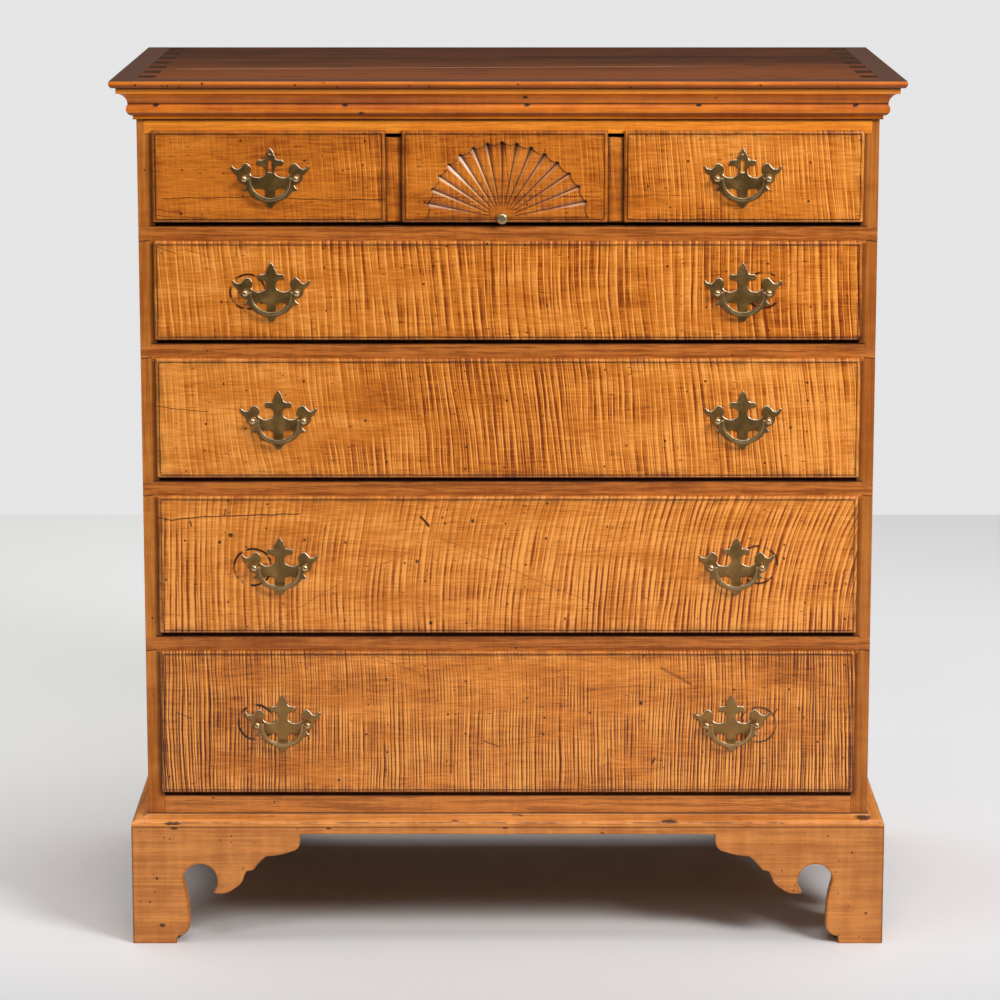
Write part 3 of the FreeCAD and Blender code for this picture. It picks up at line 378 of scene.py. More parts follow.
# Cornice: three mitred lengths of maple run to one profile and nailed on under the top's edge.
# The nails were set and stopped, and show as dark spots along the front.
cornice_pale = shade(240, 134, 30)
cornice_deep = shade(184, 86, 12)
cornice_nails = [(21, 1077), (23, 1067), (-200, 1067), (-180, 1057), (-432, 1067), (234, 1067), (426, 1067)]
nosing_pits = [(-209, 1091), (-373, 1095), (-422, 1092), (-416, 1092), (-402, 1090), (-455, 1093),
               (-260, 1093), (-120, 1092), (-96, 1091), (12, 1094), (150, 1091), (308, 1093), (402, 1091)]
cornice_quirks = ((1.0492, 0.0010), (1.0560, 0.0011), (1.0690, 0.0011), (1.0886, 0.0008))


def mitred(place):
    """Turns the grain at the mitres, so that it runs along the front length and along each return."""
    x, y, z = place.split()
    beyond = (abs(x) - case_half) - (case_front - y)
    turned = beyond.rise(-0.0001, 0.0001)
    return place.place(x + (y - x) * turned, y + (x - y) * turned, z)


def spots_at(place, points, radius, long=1.0):
    """Spots on a face that looks forward, at points in millimetres, round or some times as long as high."""
    x, z = place.split()[::2]
    found = None
    for spot_x, spot_z in points:
        reach = (((x - spot_x / 1000.0) / long) ** 2.0 + (z - spot_z / 1000.0) ** 2.0) ** 0.5
        spot = 1 - reach.rise(radius * 0.5, radius)
        found = spot if found is None else found.most(spot)
    return found


def cornice_maple():
    """Painted shade and dirty old finish in the quirks of the profile and under the nosing, a nosing
    painted light above and shaded below, a band painted light under it, and nail holes along the front.
    """
    material, place = begin("cornice_maple")
    plain_maple(material, mitred(place), place, cornice_pale, cornice_deep, 0.2, 0.7, corner=0.0025)
    x, y, z = place.split()
    # Painted light: the band under the nosing lighter, and the nosing darker in its lower half and lighter
    # on its upper half, as light falls on them.
    mark(material, shade(255, 168, 72), z.rise(1.0815, 1.0825) * z.rise(1.0886, 1.0880) * 0.4)
    mark(material, shade(132, 60, 14), z.rise(1.0885, 1.0890) * z.rise(1.0950, 1.0920) * 0.8)
    mark(material, shade(236, 136, 50), z.rise(1.0920, 1.0950) * 0.25)
    flat = z.rise(top_level - 0.0009, top_level - 0.0002)
    mark(material, shade(72, 40, 22), flat)
    dull(material, 0.1, flat)
    # Painted shade: dark lines in the quirks of the profile and under the nosing, with old finish collected
    # there.
    for level, width in cornice_quirks:
        mark(material, shade(46, 20, 8), (1 - abs(z - level).rise(width * 0.4, width * 1.3)) * 0.8)
    ragged = place.noise((300.0, 90.0, 300.0), 2.0) - 0.5
    torn = place.place(x + ragged * 0.006, y, z + ragged * 0.002)
    holes = spots_at(torn, cornice_nails, 0.0026, 1.8).most(spots_at(torn, nosing_pits, 0.0019))
    ahead = y.rise(case_front + 0.0045, case_front - 0.0015)
    mark(material, shade(40, 20, 10), holes * ahead * 0.95)
    return material


eased("cornice", "case", cornice_maple(), 0.00025, 40.0)


# Bracket base: a front board and two side boards of maple, mitred at the front corners and scroll-cut
# to bracket feet, with a moulding round their top edge.
base_face = -0.2651
base_joint = 0.1538
base_pale = shade(228, 146, 72)
base_deep = shade(182, 106, 44)
base_knots = [(-423, 152, 2.6, 2.5), (-227, 152, 2.2, 2.2), (-3, 153, 2.4, 2.2), (-440, 24, 3.2, 1.6),
              (-455, 55, 2.0, 1.0), (-446, 86, 2.6, 1.0), (456, 40, 2.2, 1.0), (437, 120, 1.8, 1.0),
              (120, 146, 1.6, 2.0)]


def base_maple(name, turned):
    """Level grain with a dirty joint along the top and some knots and dents in front."""
    material, place = begin(name)
    x, y, z = place.split()
    run = place.place(y, x, z) if turned else place
    plain_maple(material, run, place, base_pale, base_deep, 0.45, 0.6)
    speck = place.place(x + y, z, 0.0).spots((70.0, 70.0, 1.0), 0.11, 0.24, "2D")
    joint = z.rise(base_joint - 0.0023, base_joint)
    marks = (joint * 0.75).most(speck * 0.7).most(place.edges(0.0035)[1] * 0.6)
    ahead = y.rise(base_face + 0.0021, base_face + 0.0006)
    for knot_x, knot_z, radius, long in base_knots:
        knot = spots_at(place, [(knot_x, knot_z)], radius / 1000.0, long) * ahead
        marks = marks.most(knot * 0.85)
    # Painted shade: the right end of the front darker.
    shaded_right_end = x.rise(0.36, 0.47) * ahead
    mark(material, shade(124, 68, 28), shaded_right_end * 0.16)
    mark(material, shade(52, 26, 12), marks)
    return material


eased("base_front", "case", base_maple("base_front_maple", False), 0.0008)
base_side_finish = base_maple("base_side_maple", True)
eased("base_left", "case", base_side_finish, 0.0008)
eased("base_right", "case", base_side_finish, 0.0008)


moulding_top = 0.1668
moulding_quirk = 0.1588
moulding_pale = shade(240, 156, 78)
moulding_deep = shade(192, 112, 46)
moulding_splits = [(205, 160), (452, 163), (-425, 158)]


def base_moulding_maple():
    """Grain along each length, a dark line in the corner on top of it, and dents along its round."""
    material, place = begin("base_moulding_maple")
    run = mitred(place)
    plain_maple(material, run, place, moulding_pale, moulding_deep, 0.3, 0.9)
    x, y, z = place.split()
    uneven = run.noise((30.0, 60.0, 60.0), 3.0, 0.65)
    marks = z.rise(moulding_top - 0.0018, moulding_top) * 0.85
    quirk = 1 - abs(z - moulding_quirk).rise(0.0004, 0.0012)
    marks = marks.most(quirk * uneven.rise(0.45, 0.6) * 0.6)
    dent = place.place(x + y, z, 0.0).spots((22.0, 120.0, 1.0), 0.2, 0.25, "2D") * uneven.rise(0.42, 0.55)
    ragged = place.noise((240.0, 60.0, 300.0), 2.0) - 0.5
    torn = place.place(x + ragged * 0.01, y, z + ragged * 0.003)
    ahead = y.rise(case_front + 0.0045, case_front - 0.0055)
    splits = spots_at(torn, moulding_splits, 0.0024, 6.0) * ahead
    mark(material, shade(44, 22, 10), marks.most(dent * 0.8).most(splits * 0.9))
    return material


eased("base_moulding", "case", base_moulding_maple(), 0.00025, 40.0)


# Back boards, case bottom, runners, rear brackets and glue blocks: sawn pine, left unfinished and
# grown brown with age. The boards are nailed on; the blocks are glued into the corners of the feet.
pine_pale = shade(206, 152, 94)
pine_deep = shade(144, 91, 48)
pine_unlit = (0.008, 0.005, 0.003, 1.0)
back_joints = (0.4548, 0.7658)


def old_pine(name, turned, light=1.0, joints=()):
    """Sawn pine, with its grain across or along the case, dark level joints, painted shade in its inside
    corners, and painted shade over it all where it is given less than full light.
    """
    material, place = begin(name)
    x, y, z = place.split()
    run = place.place(y, x, z) if turned else place
    ring = run.noise((1.2, 26.0, 26.0), 3.0, 0.55)
    bands = abs((ring * 9.0).part() - 0.5) * 2.0
    fibre = run.noise((6.0, 500.0, 500.0), 3.0, 0.6)
    cloud = run.noise((4.0, 7.0, 7.0), 3.0, 0.6)
    saw = run.noise((160.0, 8.0, 8.0), 2.0).rise(0.45, 0.7)
    knot = run.noise((5.0, 11.0, 11.0), 1.0).rise(0.72, 0.78)
    tone = bands * 0.35 + cloud * 0.35 + fibre * 0.25 + 0.05
    colour = place.stain(pine_deep, pine_pale, tone.rise(0.2, 0.8))
    colour = place.stain(colour, shade(96, 58, 30), knot * 0.7)
    colour = place.stain(colour, shade(78, 52, 34), cloud.rise(0.55, 0.3) * 0.2)
    for joint in joints:
        colour = place.stain(colour, shade(34, 22, 14), (1 - abs(z - joint).rise(0.0008, 0.003)) * 0.85)
    # Painted shade: darker in the piece's own inside corners, with old dirt there.
    colour = place.stain(colour, shade(70, 46, 30), place.corners(0.02) * 0.6)
    colour = place.stain(pine_unlit, colour, light)
    roughness = 0.74 + fibre * 0.15
    return varnish(material, colour, roughness, fibre * 0.6 + bands * 0.3 + saw * 0.5, 0.0003, 0.0, 0.2)


def dress(node, material):
    """Gives a CAD node its finish."""
    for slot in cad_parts[node].material_slots:
        slot.material = material


# Painted shade: the pieces under the chest have their colour taken more than half way to near black, for
# the shade under it.
pine_under = old_pine("pine_under", False, 0.45)
pine_level = old_pine("pine_level", False)
pine_deepwise = old_pine("pine_deepwise", True)
pine_back = old_pine("pine_back", False, joints=back_joints)
eased("rear_foot_brackets", "case", pine_under, 0.0008)
dress("case_bottom", pine_under)
dress("drawer_runners", pine_deepwise)
dress("foot_glue_blocks", pine_under)


# Drawer boxes: sides, back and bottom of thin pine, dovetailed at the corners, the bottom held in
# grooves and nailed up into the back.
for number in range(1, 6):
    dress(f"drawer_{number}_sides", pine_deepwise)
    dress(f"drawer_{number}_back", pine_level)
    dress(f"drawer_{number}_bottom", pine_level)


# Nails: hand-forged iron heads of about 7 mm. They hold the back boards to the sides and top, and
# each drawer bottom to its drawer back.
def forged_iron():
    """Black iron with patches of rust."""
    material, place = begin("forged_iron")
    rust = place.noise((300.0, 300.0, 300.0), 3.0, 0.6)
    colour = place.stain(shade(36, 32, 30), shade(98, 62, 42), rust.rise(0.4, 0.7))
    return varnish(material, colour, 0.6 + rust * 0.3, rust, 0.0003, 0.0, 0.4)


def nail_tree():
    """A tree that sets a faceted nail head on every point, facing one way."""
    tree = bpy.data.node_groups.new("nail_heads", "GeometryNodeTree")
    face = tree.interface
    face.new_socket("Geometry", in_out="INPUT", socket_type="NodeSocketGeometry")
    face.new_socket("Head Radius", in_out="INPUT", socket_type="NodeSocketFloat")
    face.new_socket("Head Height", in_out="INPUT", socket_type="NodeSocketFloat")
    face.new_socket("Facing", in_out="INPUT", socket_type="NodeSocketVector")
    face.new_socket("Seed", in_out="INPUT", socket_type="NodeSocketInt")
    face.new_socket("Iron", in_out="INPUT", socket_type="NodeSocketMaterial")
    face.new_socket("Geometry", in_out="OUTPUT", socket_type="NodeSocketGeometry")
    given = tree.nodes.new("NodeGroupInput").outputs
    points, radius, rise, facing, seed, iron = [Finish(tree, given[index]) for index in range(6)]
    head = points.node("GeometryNodeMeshCone", {},
                       {"Vertices": 7, "Radius Top": radius * 0.35, "Radius Bottom": radius, "Depth": rise})
    upright = points.node("FunctionNodeAlignRotationToVector", {"axis": "Z"}, {"Vector": facing})
    turn = points.node("FunctionNodeRandomValue", {"data_type": "FLOAT"},
                       {2: 0.0, 3: 6.28, "Seed": seed}, 1)
    spin = points.node("FunctionNodeAxisAngleToRotation", {}, {"Axis": (0.0, 0.0, 1.0), "Angle": turn})
    aimed = points.node("FunctionNodeRotateRotation", {"rotation_space": "LOCAL"},
                        {"Rotation": upright, "Rotate By": spin})
    size = points.node("FunctionNodeRandomValue", {"data_type": "FLOAT"},
                       {2: 0.85, 3: 1.1, "Seed": seed + 7.0}, 1)
    placed = points.node("GeometryNodeInstanceOnPoints", {},
                         {"Points": points, "Instance": head, "Rotation": aimed, "Scale": size})
    solid = points.node("GeometryNodeRealizeInstances", {}, {"Geometry": placed})
    dressed = points.node("GeometryNodeSetMaterial", {}, {"Geometry": solid, "Material": iron})
    output = tree.nodes.new("NodeGroupOutput")
    tree.links.new(dressed.socket, output.inputs[0])
    return tree


nails_made = nail_tree()
iron_finish = forged_iron()


def drive_nails(name, body, points, facing, seed):
    """Nail heads at points in millimetres, as one plain mesh that rides on a body."""
    carrier = bpy.data.meshes.new(name + "_points")
    carrier.from_pydata([tuple(value / 1000.0 for value in point) for point in points], [], [])
    holder = bpy.data.objects.new(name + "_points", carrier)
    bpy.context.scene.collection.objects.link(holder)
    driven = holder.modifiers.new("nails", "NODES")
    driven.node_group = nails_made
    settings = {"Head Radius": 0.0034, "Head Height": 0.0012, "Facing": facing, "Seed": seed,
                "Iron": iron_finish}
    for socket in nails_made.interface.items_tree:
        if socket.in_out == "INPUT" and socket.name in settings:
            driven[socket.identifier] = settings[socket.name]
    bpy.context.view_layer.update()
    evaluated = holder.evaluated_get(bpy.context.evaluated_depsgraph_get())
    mesh = bpy.data.meshes.new_from_object(evaluated)
    bpy.data.objects.remove(holder)
    mesh.name = name
    piece = bpy.data.objects.new(name, mesh)
    bpy.context.scene.collection.objects.link(piece)
    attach(piece, body)


back_foot = 143.8
board_pitch = 311.0
nail_depth = 274.1
drawer_nail_depth = 243.0
back_points = []
for board in range(3):
    for height in (38.0, 155.0, 272.0):
        for side in (-438.5, 438.5):
            level = back_foot + board * board_pitch + height + side * 0.01
            back_points.append((side, nail_depth, level))
for step in range(5):
    back_points.append((-360.0 + step * 180.0, nail_depth, 1062.0 + step % 2 * 4.0))


def dented(mesh):
    """The back boards' mesh with a dent round each nail, which the hammer left."""
    dents = bmesh.new()
    facing_back = Matrix.Rotation(-math.pi / 2, 4, "X")
    for x, y, z in back_points:
        spot = Matrix.Translation((x / 1000.0, y / 1000.0 + 0.001, z / 1000.0))
        bmesh.ops.create_cone(dents, cap_ends=True, segments=14, radius1=0.0038, radius2=0.0052,
                              depth=0.002, matrix=spot @ facing_back)
    tool_mesh = bpy.data.meshes.new("dents")
    dents.to_mesh(tool_mesh)
    dents.free()
    blank = bpy.data.objects.new("blank", mesh)
    tool = bpy.data.objects.new("dents", tool_mesh)
    for item in (blank, tool):
        bpy.context.scene.collection.objects.link(item)
    hollow = blank.modifiers.new("hollow", "BOOLEAN")
    hollow.operation = "DIFFERENCE"
    hollow.solver = "EXACT"
    hollow.object = tool
    bpy.context.view_layer.update()
    made = bpy.data.meshes.new_from_object(blank.evaluated_get(bpy.context.evaluated_depsgraph_get()))
    bpy.data.objects.remove(blank)
    bpy.data.objects.remove(tool)
    return made


eased("back_boards", "case", pine_back, 0.0005, hollows=dented)
drive_nails("back_board_nails", "case", back_points, (0.0, 1.0, 0.0), 3)
for number in range(1, 6):
    body = f"drawer_{number}"
    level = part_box(f"drawer_{number}_bottom")[0].z * 1000.0 + 0.3
    bottom_points = [(x, drawer_nail_depth, level) for x in (-330.0, -110.0, 115.0, 335.0)]
    drive_nails(f"{body}_bottom_nails", body, bottom_points, (0.0, 0.0, -1.0), number)


# Drawer fronts: thick boards of curly maple with a lipped, thumbnail-moulded edge, finished to a
# clear amber. Each board has its own figure, its own cracks and scratches, and ghost rings where
# an older set of round pulls was. The top one is faced as three, with a fan carved in the middle.
front_pale = shade(255, 169, 78)
front_mid = shade(212, 120, 33)
front_deep = shade(136, 55, 6)
# Painted shade with old dirt, for the fronts' inside corners and the fan's grooves.
grime_and_shade = shade(46, 22, 10)
strip_edges = (-0.151, -0.131, 0.123, 0.143)
fan_hub = (-0.0072, 0.9274)
fan_petals = 16.0
fan_radius = 0.0955
fan_stretch = 0.0124


def scratch(x, z, points, width):
    """A dark line through points in millimetres on a drawer front."""
    nearest = None
    for (start_x, start_z), (end_x, end_z) in zip(points, points[1:]):
        run_x = (end_x - start_x) / 1000.0
        run_z = (end_z - start_z) / 1000.0
        square = run_x ** 2 + run_z ** 2
        off_x = x - start_x / 1000.0
        off_z = z - start_z / 1000.0
        share = ((off_x * run_x + off_z * run_z) / square).most(0.0).least(1.0)
        reach = ((off_x - share * run_x) ** 2.0 + (off_z - share * run_z) ** 2.0) ** 0.5
        nearest = reach if nearest is None else nearest.least(reach)
    return 1 - nearest.rise(width * 0.0003, width * 0.0009)


def fan_shade_and_highlight(place):
    """Painted shade in the beds of the fan's grooves and their ends at the rim, a painted highlight on the
    lit wall of each groove where the finish is worn, and where the fan is.
    """
    x, y, z = place.split()
    x = x - fan_hub[0]
    z = z - fan_hub[1]
    out = (x ** 2.0 + z ** 2.0) ** 0.5
    turn = place.sum_of("ARCTAN2", z, x)
    off = (turn * (fan_petals / math.pi) + 0.5).part() - 0.5
    beside = abs(off) * (math.pi / fan_petals) * out
    inside = fan_radius + ((x / out + 1.0) * 0.5) ** 8.0 * fan_stretch - out
    under = (off * (turn - math.pi / 2)).rise(0.0, 0.02)
    wall = beside.rise(0.0005, 0.0011) * beside.rise(0.0036, 0.0016) * under * out.rise(0.014, 0.05)
    steep = 1 - abs(turn - 2.3).rise(0.2, 0.75)
    rubbed_and_highlit = wall * inside.rise(0.0, 0.004) * (steep * 0.5 + inside.rise(0.05, 0.0) * 0.4 + 0.12)
    bed = (1 - beside.rise(0.0002, 0.0009)) * out.rise(0.009, 0.02) * 0.8
    upper = 1 - abs(turn - 1.5).rise(0.3, 1.0)
    wedge = (1 - beside.rise(0.0014, 0.0044)) * inside.rise(0.02, 0.006) * upper * 0.6
    ahead = y.rise(case_front + 0.0005, case_front - 0.0025)
    carved = inside.rise(0.0, 0.0006) * z.rise(0.0, 0.002) * ahead
    return bed.most(wedge) * carved, rubbed_and_highlit * carved, carved


def curly_maple(number, pitch, wander, lean, bow, profile, curl, low_curl, light, deep, scratches, rings,
                knots):
    """The figure of one drawer front, with its marks."""
    material, place = begin(f"curly_maple_{number}")
    low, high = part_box(f"drawer_{number}_front")
    x, y, z = place.split()
    ahead = y.rise(case_front - 0.0025, case_front - 0.0055)
    across = (x + front_half) / (front_half * 2.0)
    upward = (z - low.z) / (high.z - low.z)
    drift = place.noise((4.0, 3.0, 4.0), 1.0) * 0.03
    shiver = place.noise((28.0, 3.0, 24.0), 3.0, 0.6) * 0.0026
    line = x - z * lean - upward ** 2.0 * across * bow + drift + shiver + number * 0.37
    flow = place.place(line, y, z)
    phase = (line / pitch + flow.noise((0.3 / pitch, 1.0, 4.0), 1.0) * wander).part()
    threads = flow.noise((2.6 / pitch, 1.0, 9.0), 2.0, 0.6).rise(0.3, 0.7)
    figure = (phase.ramp(profile) - 0.5) * 0.75 + (threads - 0.5) * 0.4
    patch = place.noise((14.0, 3.0, 24.0), 2.0, 0.55).rise(0.28, 0.68)
    strength = across.ramp(curl) * (patch * 0.95 + 0.25) * (low_curl + upward * (1.0 - low_curl))
    mottle = place.noise((9.0, 3.0, 32.0), 3.0, 0.6)
    fibre = place.noise((34.0, 60.0, 430.0), 4.0, 0.7)
    streak = place.noise((2.6, 20.0, 58.0), 3.0, 0.55)
    tone = across.ramp(light) + figure * strength * 1.5 + (streak - 0.5) * 0.3
    tone = tone + (fibre - 0.5) * 1.05 + (mottle - 0.5) * 0.75
    colour = place.stain(deep, front_mid, tone.rise(0.0, 0.55))
    colour = place.stain(colour, front_pale, tone.rise(0.45, 1.05))
    face = place.place(x, z, 0.0)
    speck = face.spots((40.0, 40.0, 1.0), 0.075, 0.2, "2D")
    fleck = face.spots((46.0, 120.0, 1.0), 0.15, 0.14, "2D")
    marks = (speck * 0.9).most(fleck * 0.5)
    wobble = place.noise((60.0, 10.0, 60.0), 2.0) - 0.5
    near_x = x + wobble * 0.002
    near_z = z + wobble * 0.003
    for points, width, share in scratches:
        marks = marks.most(scratch(near_x, near_z, points, width) * share)
    for ring_x, ring_z, radius, share in rings:
        out = ((near_x - ring_x / 1000.0) ** 2.0 + (near_z - ring_z / 1000.0) ** 2.0) ** 0.5
        band = 1 - abs(out - radius / 1000.0).rise(0.0008, 0.0021)
        worn = place.noise((70.0, 20.0, 70.0), 2.0).rise(0.38, 0.52)
        marks = marks.most(band * worn * share)
    for knot_x, knot_z, radius, share in knots:
        out = ((near_x - knot_x / 1000.0) ** 2.0 + (near_z - knot_z / 1000.0) ** 2.0) ** 0.5
        marks = marks.most((1 - out.rise(radius * 0.0004, radius * 0.001)) * share)
    colour = place.stain(colour, shade(50, 18, 6), marks * ahead)
    border = (z - low.z).least(high.z - z)
    for field_end in (-front_half, front_half) + (strip_edges if number == 1 else ()):
        border = border.least(abs(x - field_end))
    uneven = place.noise((40.0, 20.0, 40.0), 3.0, 0.65)
    edging = border.rise(0.016, 0.003) * uneven.rise(0.35, 0.7)
    colour = place.stain(colour, shade(104, 46, 14), edging * 0.5)
    # Painted shade: a dark line at the step of the thumbnail moulding, with old finish there.
    quirk = (1 - abs(border - 0.0047).rise(0.0003, 0.0011)) * uneven.rise(0.2, 0.5)
    colour = place.stain(colour, shade(72, 34, 16), quirk * ahead * 0.7)
    # Painted shadow: the bottom edge of each front dark, for the shadow under its lip.
    foot_shadow = (z - low.z).rise(0.0024, 0.0010) * y.rise(case_front + 0.0015, case_front)
    colour = place.stain(colour, shade(24, 11, 5), foot_shadow * 0.92)
    # Painted shade: darker in the front's own inside corners, with old dirt there.
    colour = place.stain(colour, grime_and_shade, place.corners(0.005).rise(0.04, 0.45) * 0.92)
    gloss = 0.36 - mottle * 0.1
    if number == 1:
        shade_and_dirt, rubbed_and_highlit, carved = fan_shade_and_highlight(place)
        # Painted highlight on the lit wall of each groove, with wear there; painted shade in the groove
        # beds, at their ends by the rim and in the fan's inside corners.
        colour = place.stain(colour, shade(248, 196, 136), rubbed_and_highlit * 0.9)
        colour = place.stain(colour, grime_and_shade, shade_and_dirt.most(place.corners(0.0022).rise(0.08, 0.4) * 0.85))
        gloss = gloss + carved * 0.06
    behind = y.rise(case_front + 0.0015, case_front + 0.0025)
    raw = place.stain(shade(156, 104, 58), shade(204, 156, 104), streak.rise(0.3, 0.7))
    colour = place.stain(colour, raw, behind * 0.85)
    varnish(material, colour, gloss, fibre * 0.4 + mottle, 0.00012)
    dull(material, 0.3, behind)
    return material


ridged = [(0.0, 0.52), (0.07, 0.95), (0.17, 1.0), (0.28, 0.1), (0.4, 0.34), (0.7, 0.5), (1.0, 0.52)]
barred = [(0.0, 0.6), (0.14, 0.92), (0.28, 0.64), (0.42, 0.08), (0.52, 0.2), (0.7, 0.56), (1.0, 0.62)]
combed = [(0.0, 0.6), (0.12, 0.8), (0.3, 0.72), (0.42, 0.0), (0.54, 0.08), (0.68, 0.55), (1.0, 0.6)]
front_figures = {
    1: dict(
        pitch=0.0066, wander=2.0, lean=-0.08, bow=0.0, profile=ridged, low_curl=1.0, deep=front_deep,
        curl=[(0.0, 0.2), (0.2, 0.28), (0.3, 0.45), (0.36, 0.36), (0.62, 0.36), (0.75, 0.8), (1.0, 0.75)],
        light=[(0.0, 0.42), (0.3, 0.42), (0.36, 0.41), (0.62, 0.41), (0.75, 0.57), (1.0, 0.6)],
        scratches=[([(-425, 952), (-318, 954), (-219, 950), (-131, 951)], 0.8, 0.95),
                   ([(-121, 952), (-10, 955), (113, 954)], 0.7, 0.8),
                   ([(140, 955), (212, 956)], 0.6, 0.7),
                   ([(-439, 939), (-404, 935)], 0.7, 0.8),
                   ([(-439, 931), (-371, 927)], 0.7, 0.8)],
        rings=[],
        knots=[(-403, 933, 3.0, 0.7), (-435, 1010, 2.5, 0.7)]),
    2: dict(
        pitch=0.0098, wander=1.8, lean=-0.06, bow=0.0, profile=ridged, low_curl=1.0, deep=front_deep,
        curl=[(0.0, 0.6), (0.2, 0.65), (0.4, 0.95), (0.7, 1.0), (0.85, 0.9), (1.0, 1.0)],
        light=[(0.0, 0.62), (0.3, 0.57), (0.6, 0.49), (1.0, 0.47)],
        scratches=[([(-432, 892), (-410, 884)], 0.8, 0.7),
                   ([(-398, 889), (-365, 878)], 0.6, 0.5),
                   ([(-336, 892), (-336, 879)], 1.0, 0.7)],
        rings=[(-322, 836, 21.6, 0.95), (316, 838, 22.2, 0.95)],
        knots=[(436, 777, 5.0, 0.95), (-92, 868, 2.2, 0.8)]),
    3: dict(
        pitch=0.0078, wander=1.8, lean=-0.1, bow=0.0, profile=ridged, low_curl=1.05, deep=front_deep,
        curl=[(0.0, 0.4), (0.18, 0.4), (0.38, 0.95), (0.52, 1.0), (0.72, 1.0), (1.0, 0.9)],
        light=[(0.0, 0.74), (0.25, 0.56), (0.46, 0.4), (0.66, 0.55), (0.86, 0.66), (1.0, 0.68)],
        scratches=[([(-439, 693), (-410, 688), (-373, 686)], 0.8, 0.85)],
        rings=[],
        knots=[(352, 665, 3.0, 0.7), (-66, 712, 2.0, 0.8), (30, 632, 1.8, 0.8), (212, 640, 1.6, 0.8)]),
    4: dict(
        pitch=0.0075, wander=1.8, lean=0.03, bow=0.036, profile=barred, low_curl=2.1, deep=front_deep,
        curl=[(0.0, 0.75), (0.12, 0.45), (0.3, 0.42), (0.5, 0.6), (0.8, 0.8), (1.0, 1.0)],
        light=[(0.0, 0.62), (0.5, 0.61), (1.0, 0.58)],
        scratches=[([(-442, 551), (-420, 548), (-384, 552), (-325, 554), (-260, 556)], 1.2, 0.9),
                   ([(-109, 552), (-99, 541)], 2.6, 0.95),
                   ([(-84, 525), (20, 478), (121, 435)], 0.8, 0.4),
                   ([(-184, 479), (-125, 506)], 0.8, 0.4),
                   ([(-309, 407), (-202, 473)], 0.8, 0.4),
                   ([(-353, 562), (-355, 553)], 1.6, 0.8),
                   ([(-398, 546), (-396, 541)], 1.8, 0.85)],
        rings=[(-320, 488, 23.3, 1.0), (314, 491, 23.9, 0.9)],
        knots=[(-97, 416, 3.2, 0.95), (-347, 529, 4.2, 0.9), (-361, 520, 3.0, 0.95),
               (-44, 547, 3.4, 0.85), (-114, 495, 3.0, 0.9), (-82, 551, 2.2, 0.85)]),
    5: dict(
        pitch=0.0043, wander=2.2, lean=-0.02, bow=0.0, profile=combed, low_curl=2.3, deep=shade(94, 36, 4),
        curl=[(0.0, 0.95), (0.15, 0.75), (0.35, 0.5), (0.6, 0.6), (0.85, 0.9), (1.0, 1.0)],
        light=[(0.0, 0.4), (0.2, 0.5), (0.5, 0.59), (0.8, 0.5), (1.0, 0.32)],
        scratches=[([(127, 252), (127, 199)], 1.4, 0.75),
                   ([(-72, 268), (-72, 220)], 1.4, 0.7),
                   ([(-29, 263), (-12, 256)], 1.6, 0.75),
                   ([(-165, 373), (-112, 351)], 0.6, 0.6),
                   ([(194, 358), (231, 337)], 2.8, 0.45),
                   ([(-418, 300), (-400, 293)], 0.9, 0.8),
                   ([(340, 304), (335, 296)], 1.6, 0.85),
                   ([(186, 240), (183, 234)], 2.2, 0.9)],
        rings=[(-318, 287, 22.4, 1.0), (316, 284, 22.8, 0.75)],
        knots=[(-214, 212, 2.6, 0.9), (168, 312, 3.4, 0.95), (368, 304, 2.4, 0.9), (355, 330, 2.2, 0.9),
               (392, 262, 2.4, 0.9), (286, 330, 2.2, 0.85), (104, 300, 2.4, 0.85), (24, 318, 2.2, 0.8)]),
}
for number, figure in front_figures.items():
    front_finish = curly_maple(number, **figure)
    eased(f"drawer_{number}_front", f"drawer_{number}", front_finish, 0.0006, 38.0)


# Pulls and the fan's knob: cast, filed and turned brass gone dull; the filed plates are worn smoother on
# their edges, with a painted highlight on the upper edges and painted shade on the lower. Each pull is a
# pierced back plate, two turned posts held by nuts inside, and a bail that swings in them.
plate_pale = shade(228, 178, 104)
turned_pale = shade(206, 182, 138)
brass_deep = shade(128, 98, 56)


def aged_brass(name, pale, shine, filed):
    """Brass from dull to bright; a filed piece has its edges rounded over and worn smoother, with a painted
    highlight on the upward edges and painted shade on the downward ones.
    """
    material, place = begin(name)
    cloud = place.noise((60.0, 60.0, 60.0), 3.0, 0.6)
    grit = place.noise((700.0, 700.0, 700.0), 2.0, 0.6)
    tone = cloud * 0.6 + grit * 0.2 + shine
    colour = place.stain(brass_deep, pale, tone.rise(0.3, 0.9))
    colour = place.stain(colour, shade(190, 136, 78), place.split()[2].rise(0.6, 0.25) * 0.4)
    colour = place.stain(colour, shade(28, 20, 10), place.corners(0.004) * 0.6)
    roughness = 0.34 - shine * 0.4 + cloud * 0.12
    rounded = None
    if filed:
        rounded, worn = place.edges(0.0018)
        upward = rounded.split()[2]
        # Painted highlight on the upward edges and painted shade on the downward ones.
        colour = place.stain(colour, shade(255, 244, 216), worn * upward.rise(0.02, 0.4) * 0.95)
        colour = place.stain(colour, shade(40, 30, 18), worn * upward.rise(-0.02, -0.4) * 0.8)
        roughness = roughness - worn * 0.08
    varnish(material, colour, roughness, grit * 0.6 + cloud, 0.00008, rounded=rounded)
    material.node_tree.nodes["Principled BSDF"].inputs["Metallic"].default_value = 0.9
    return material


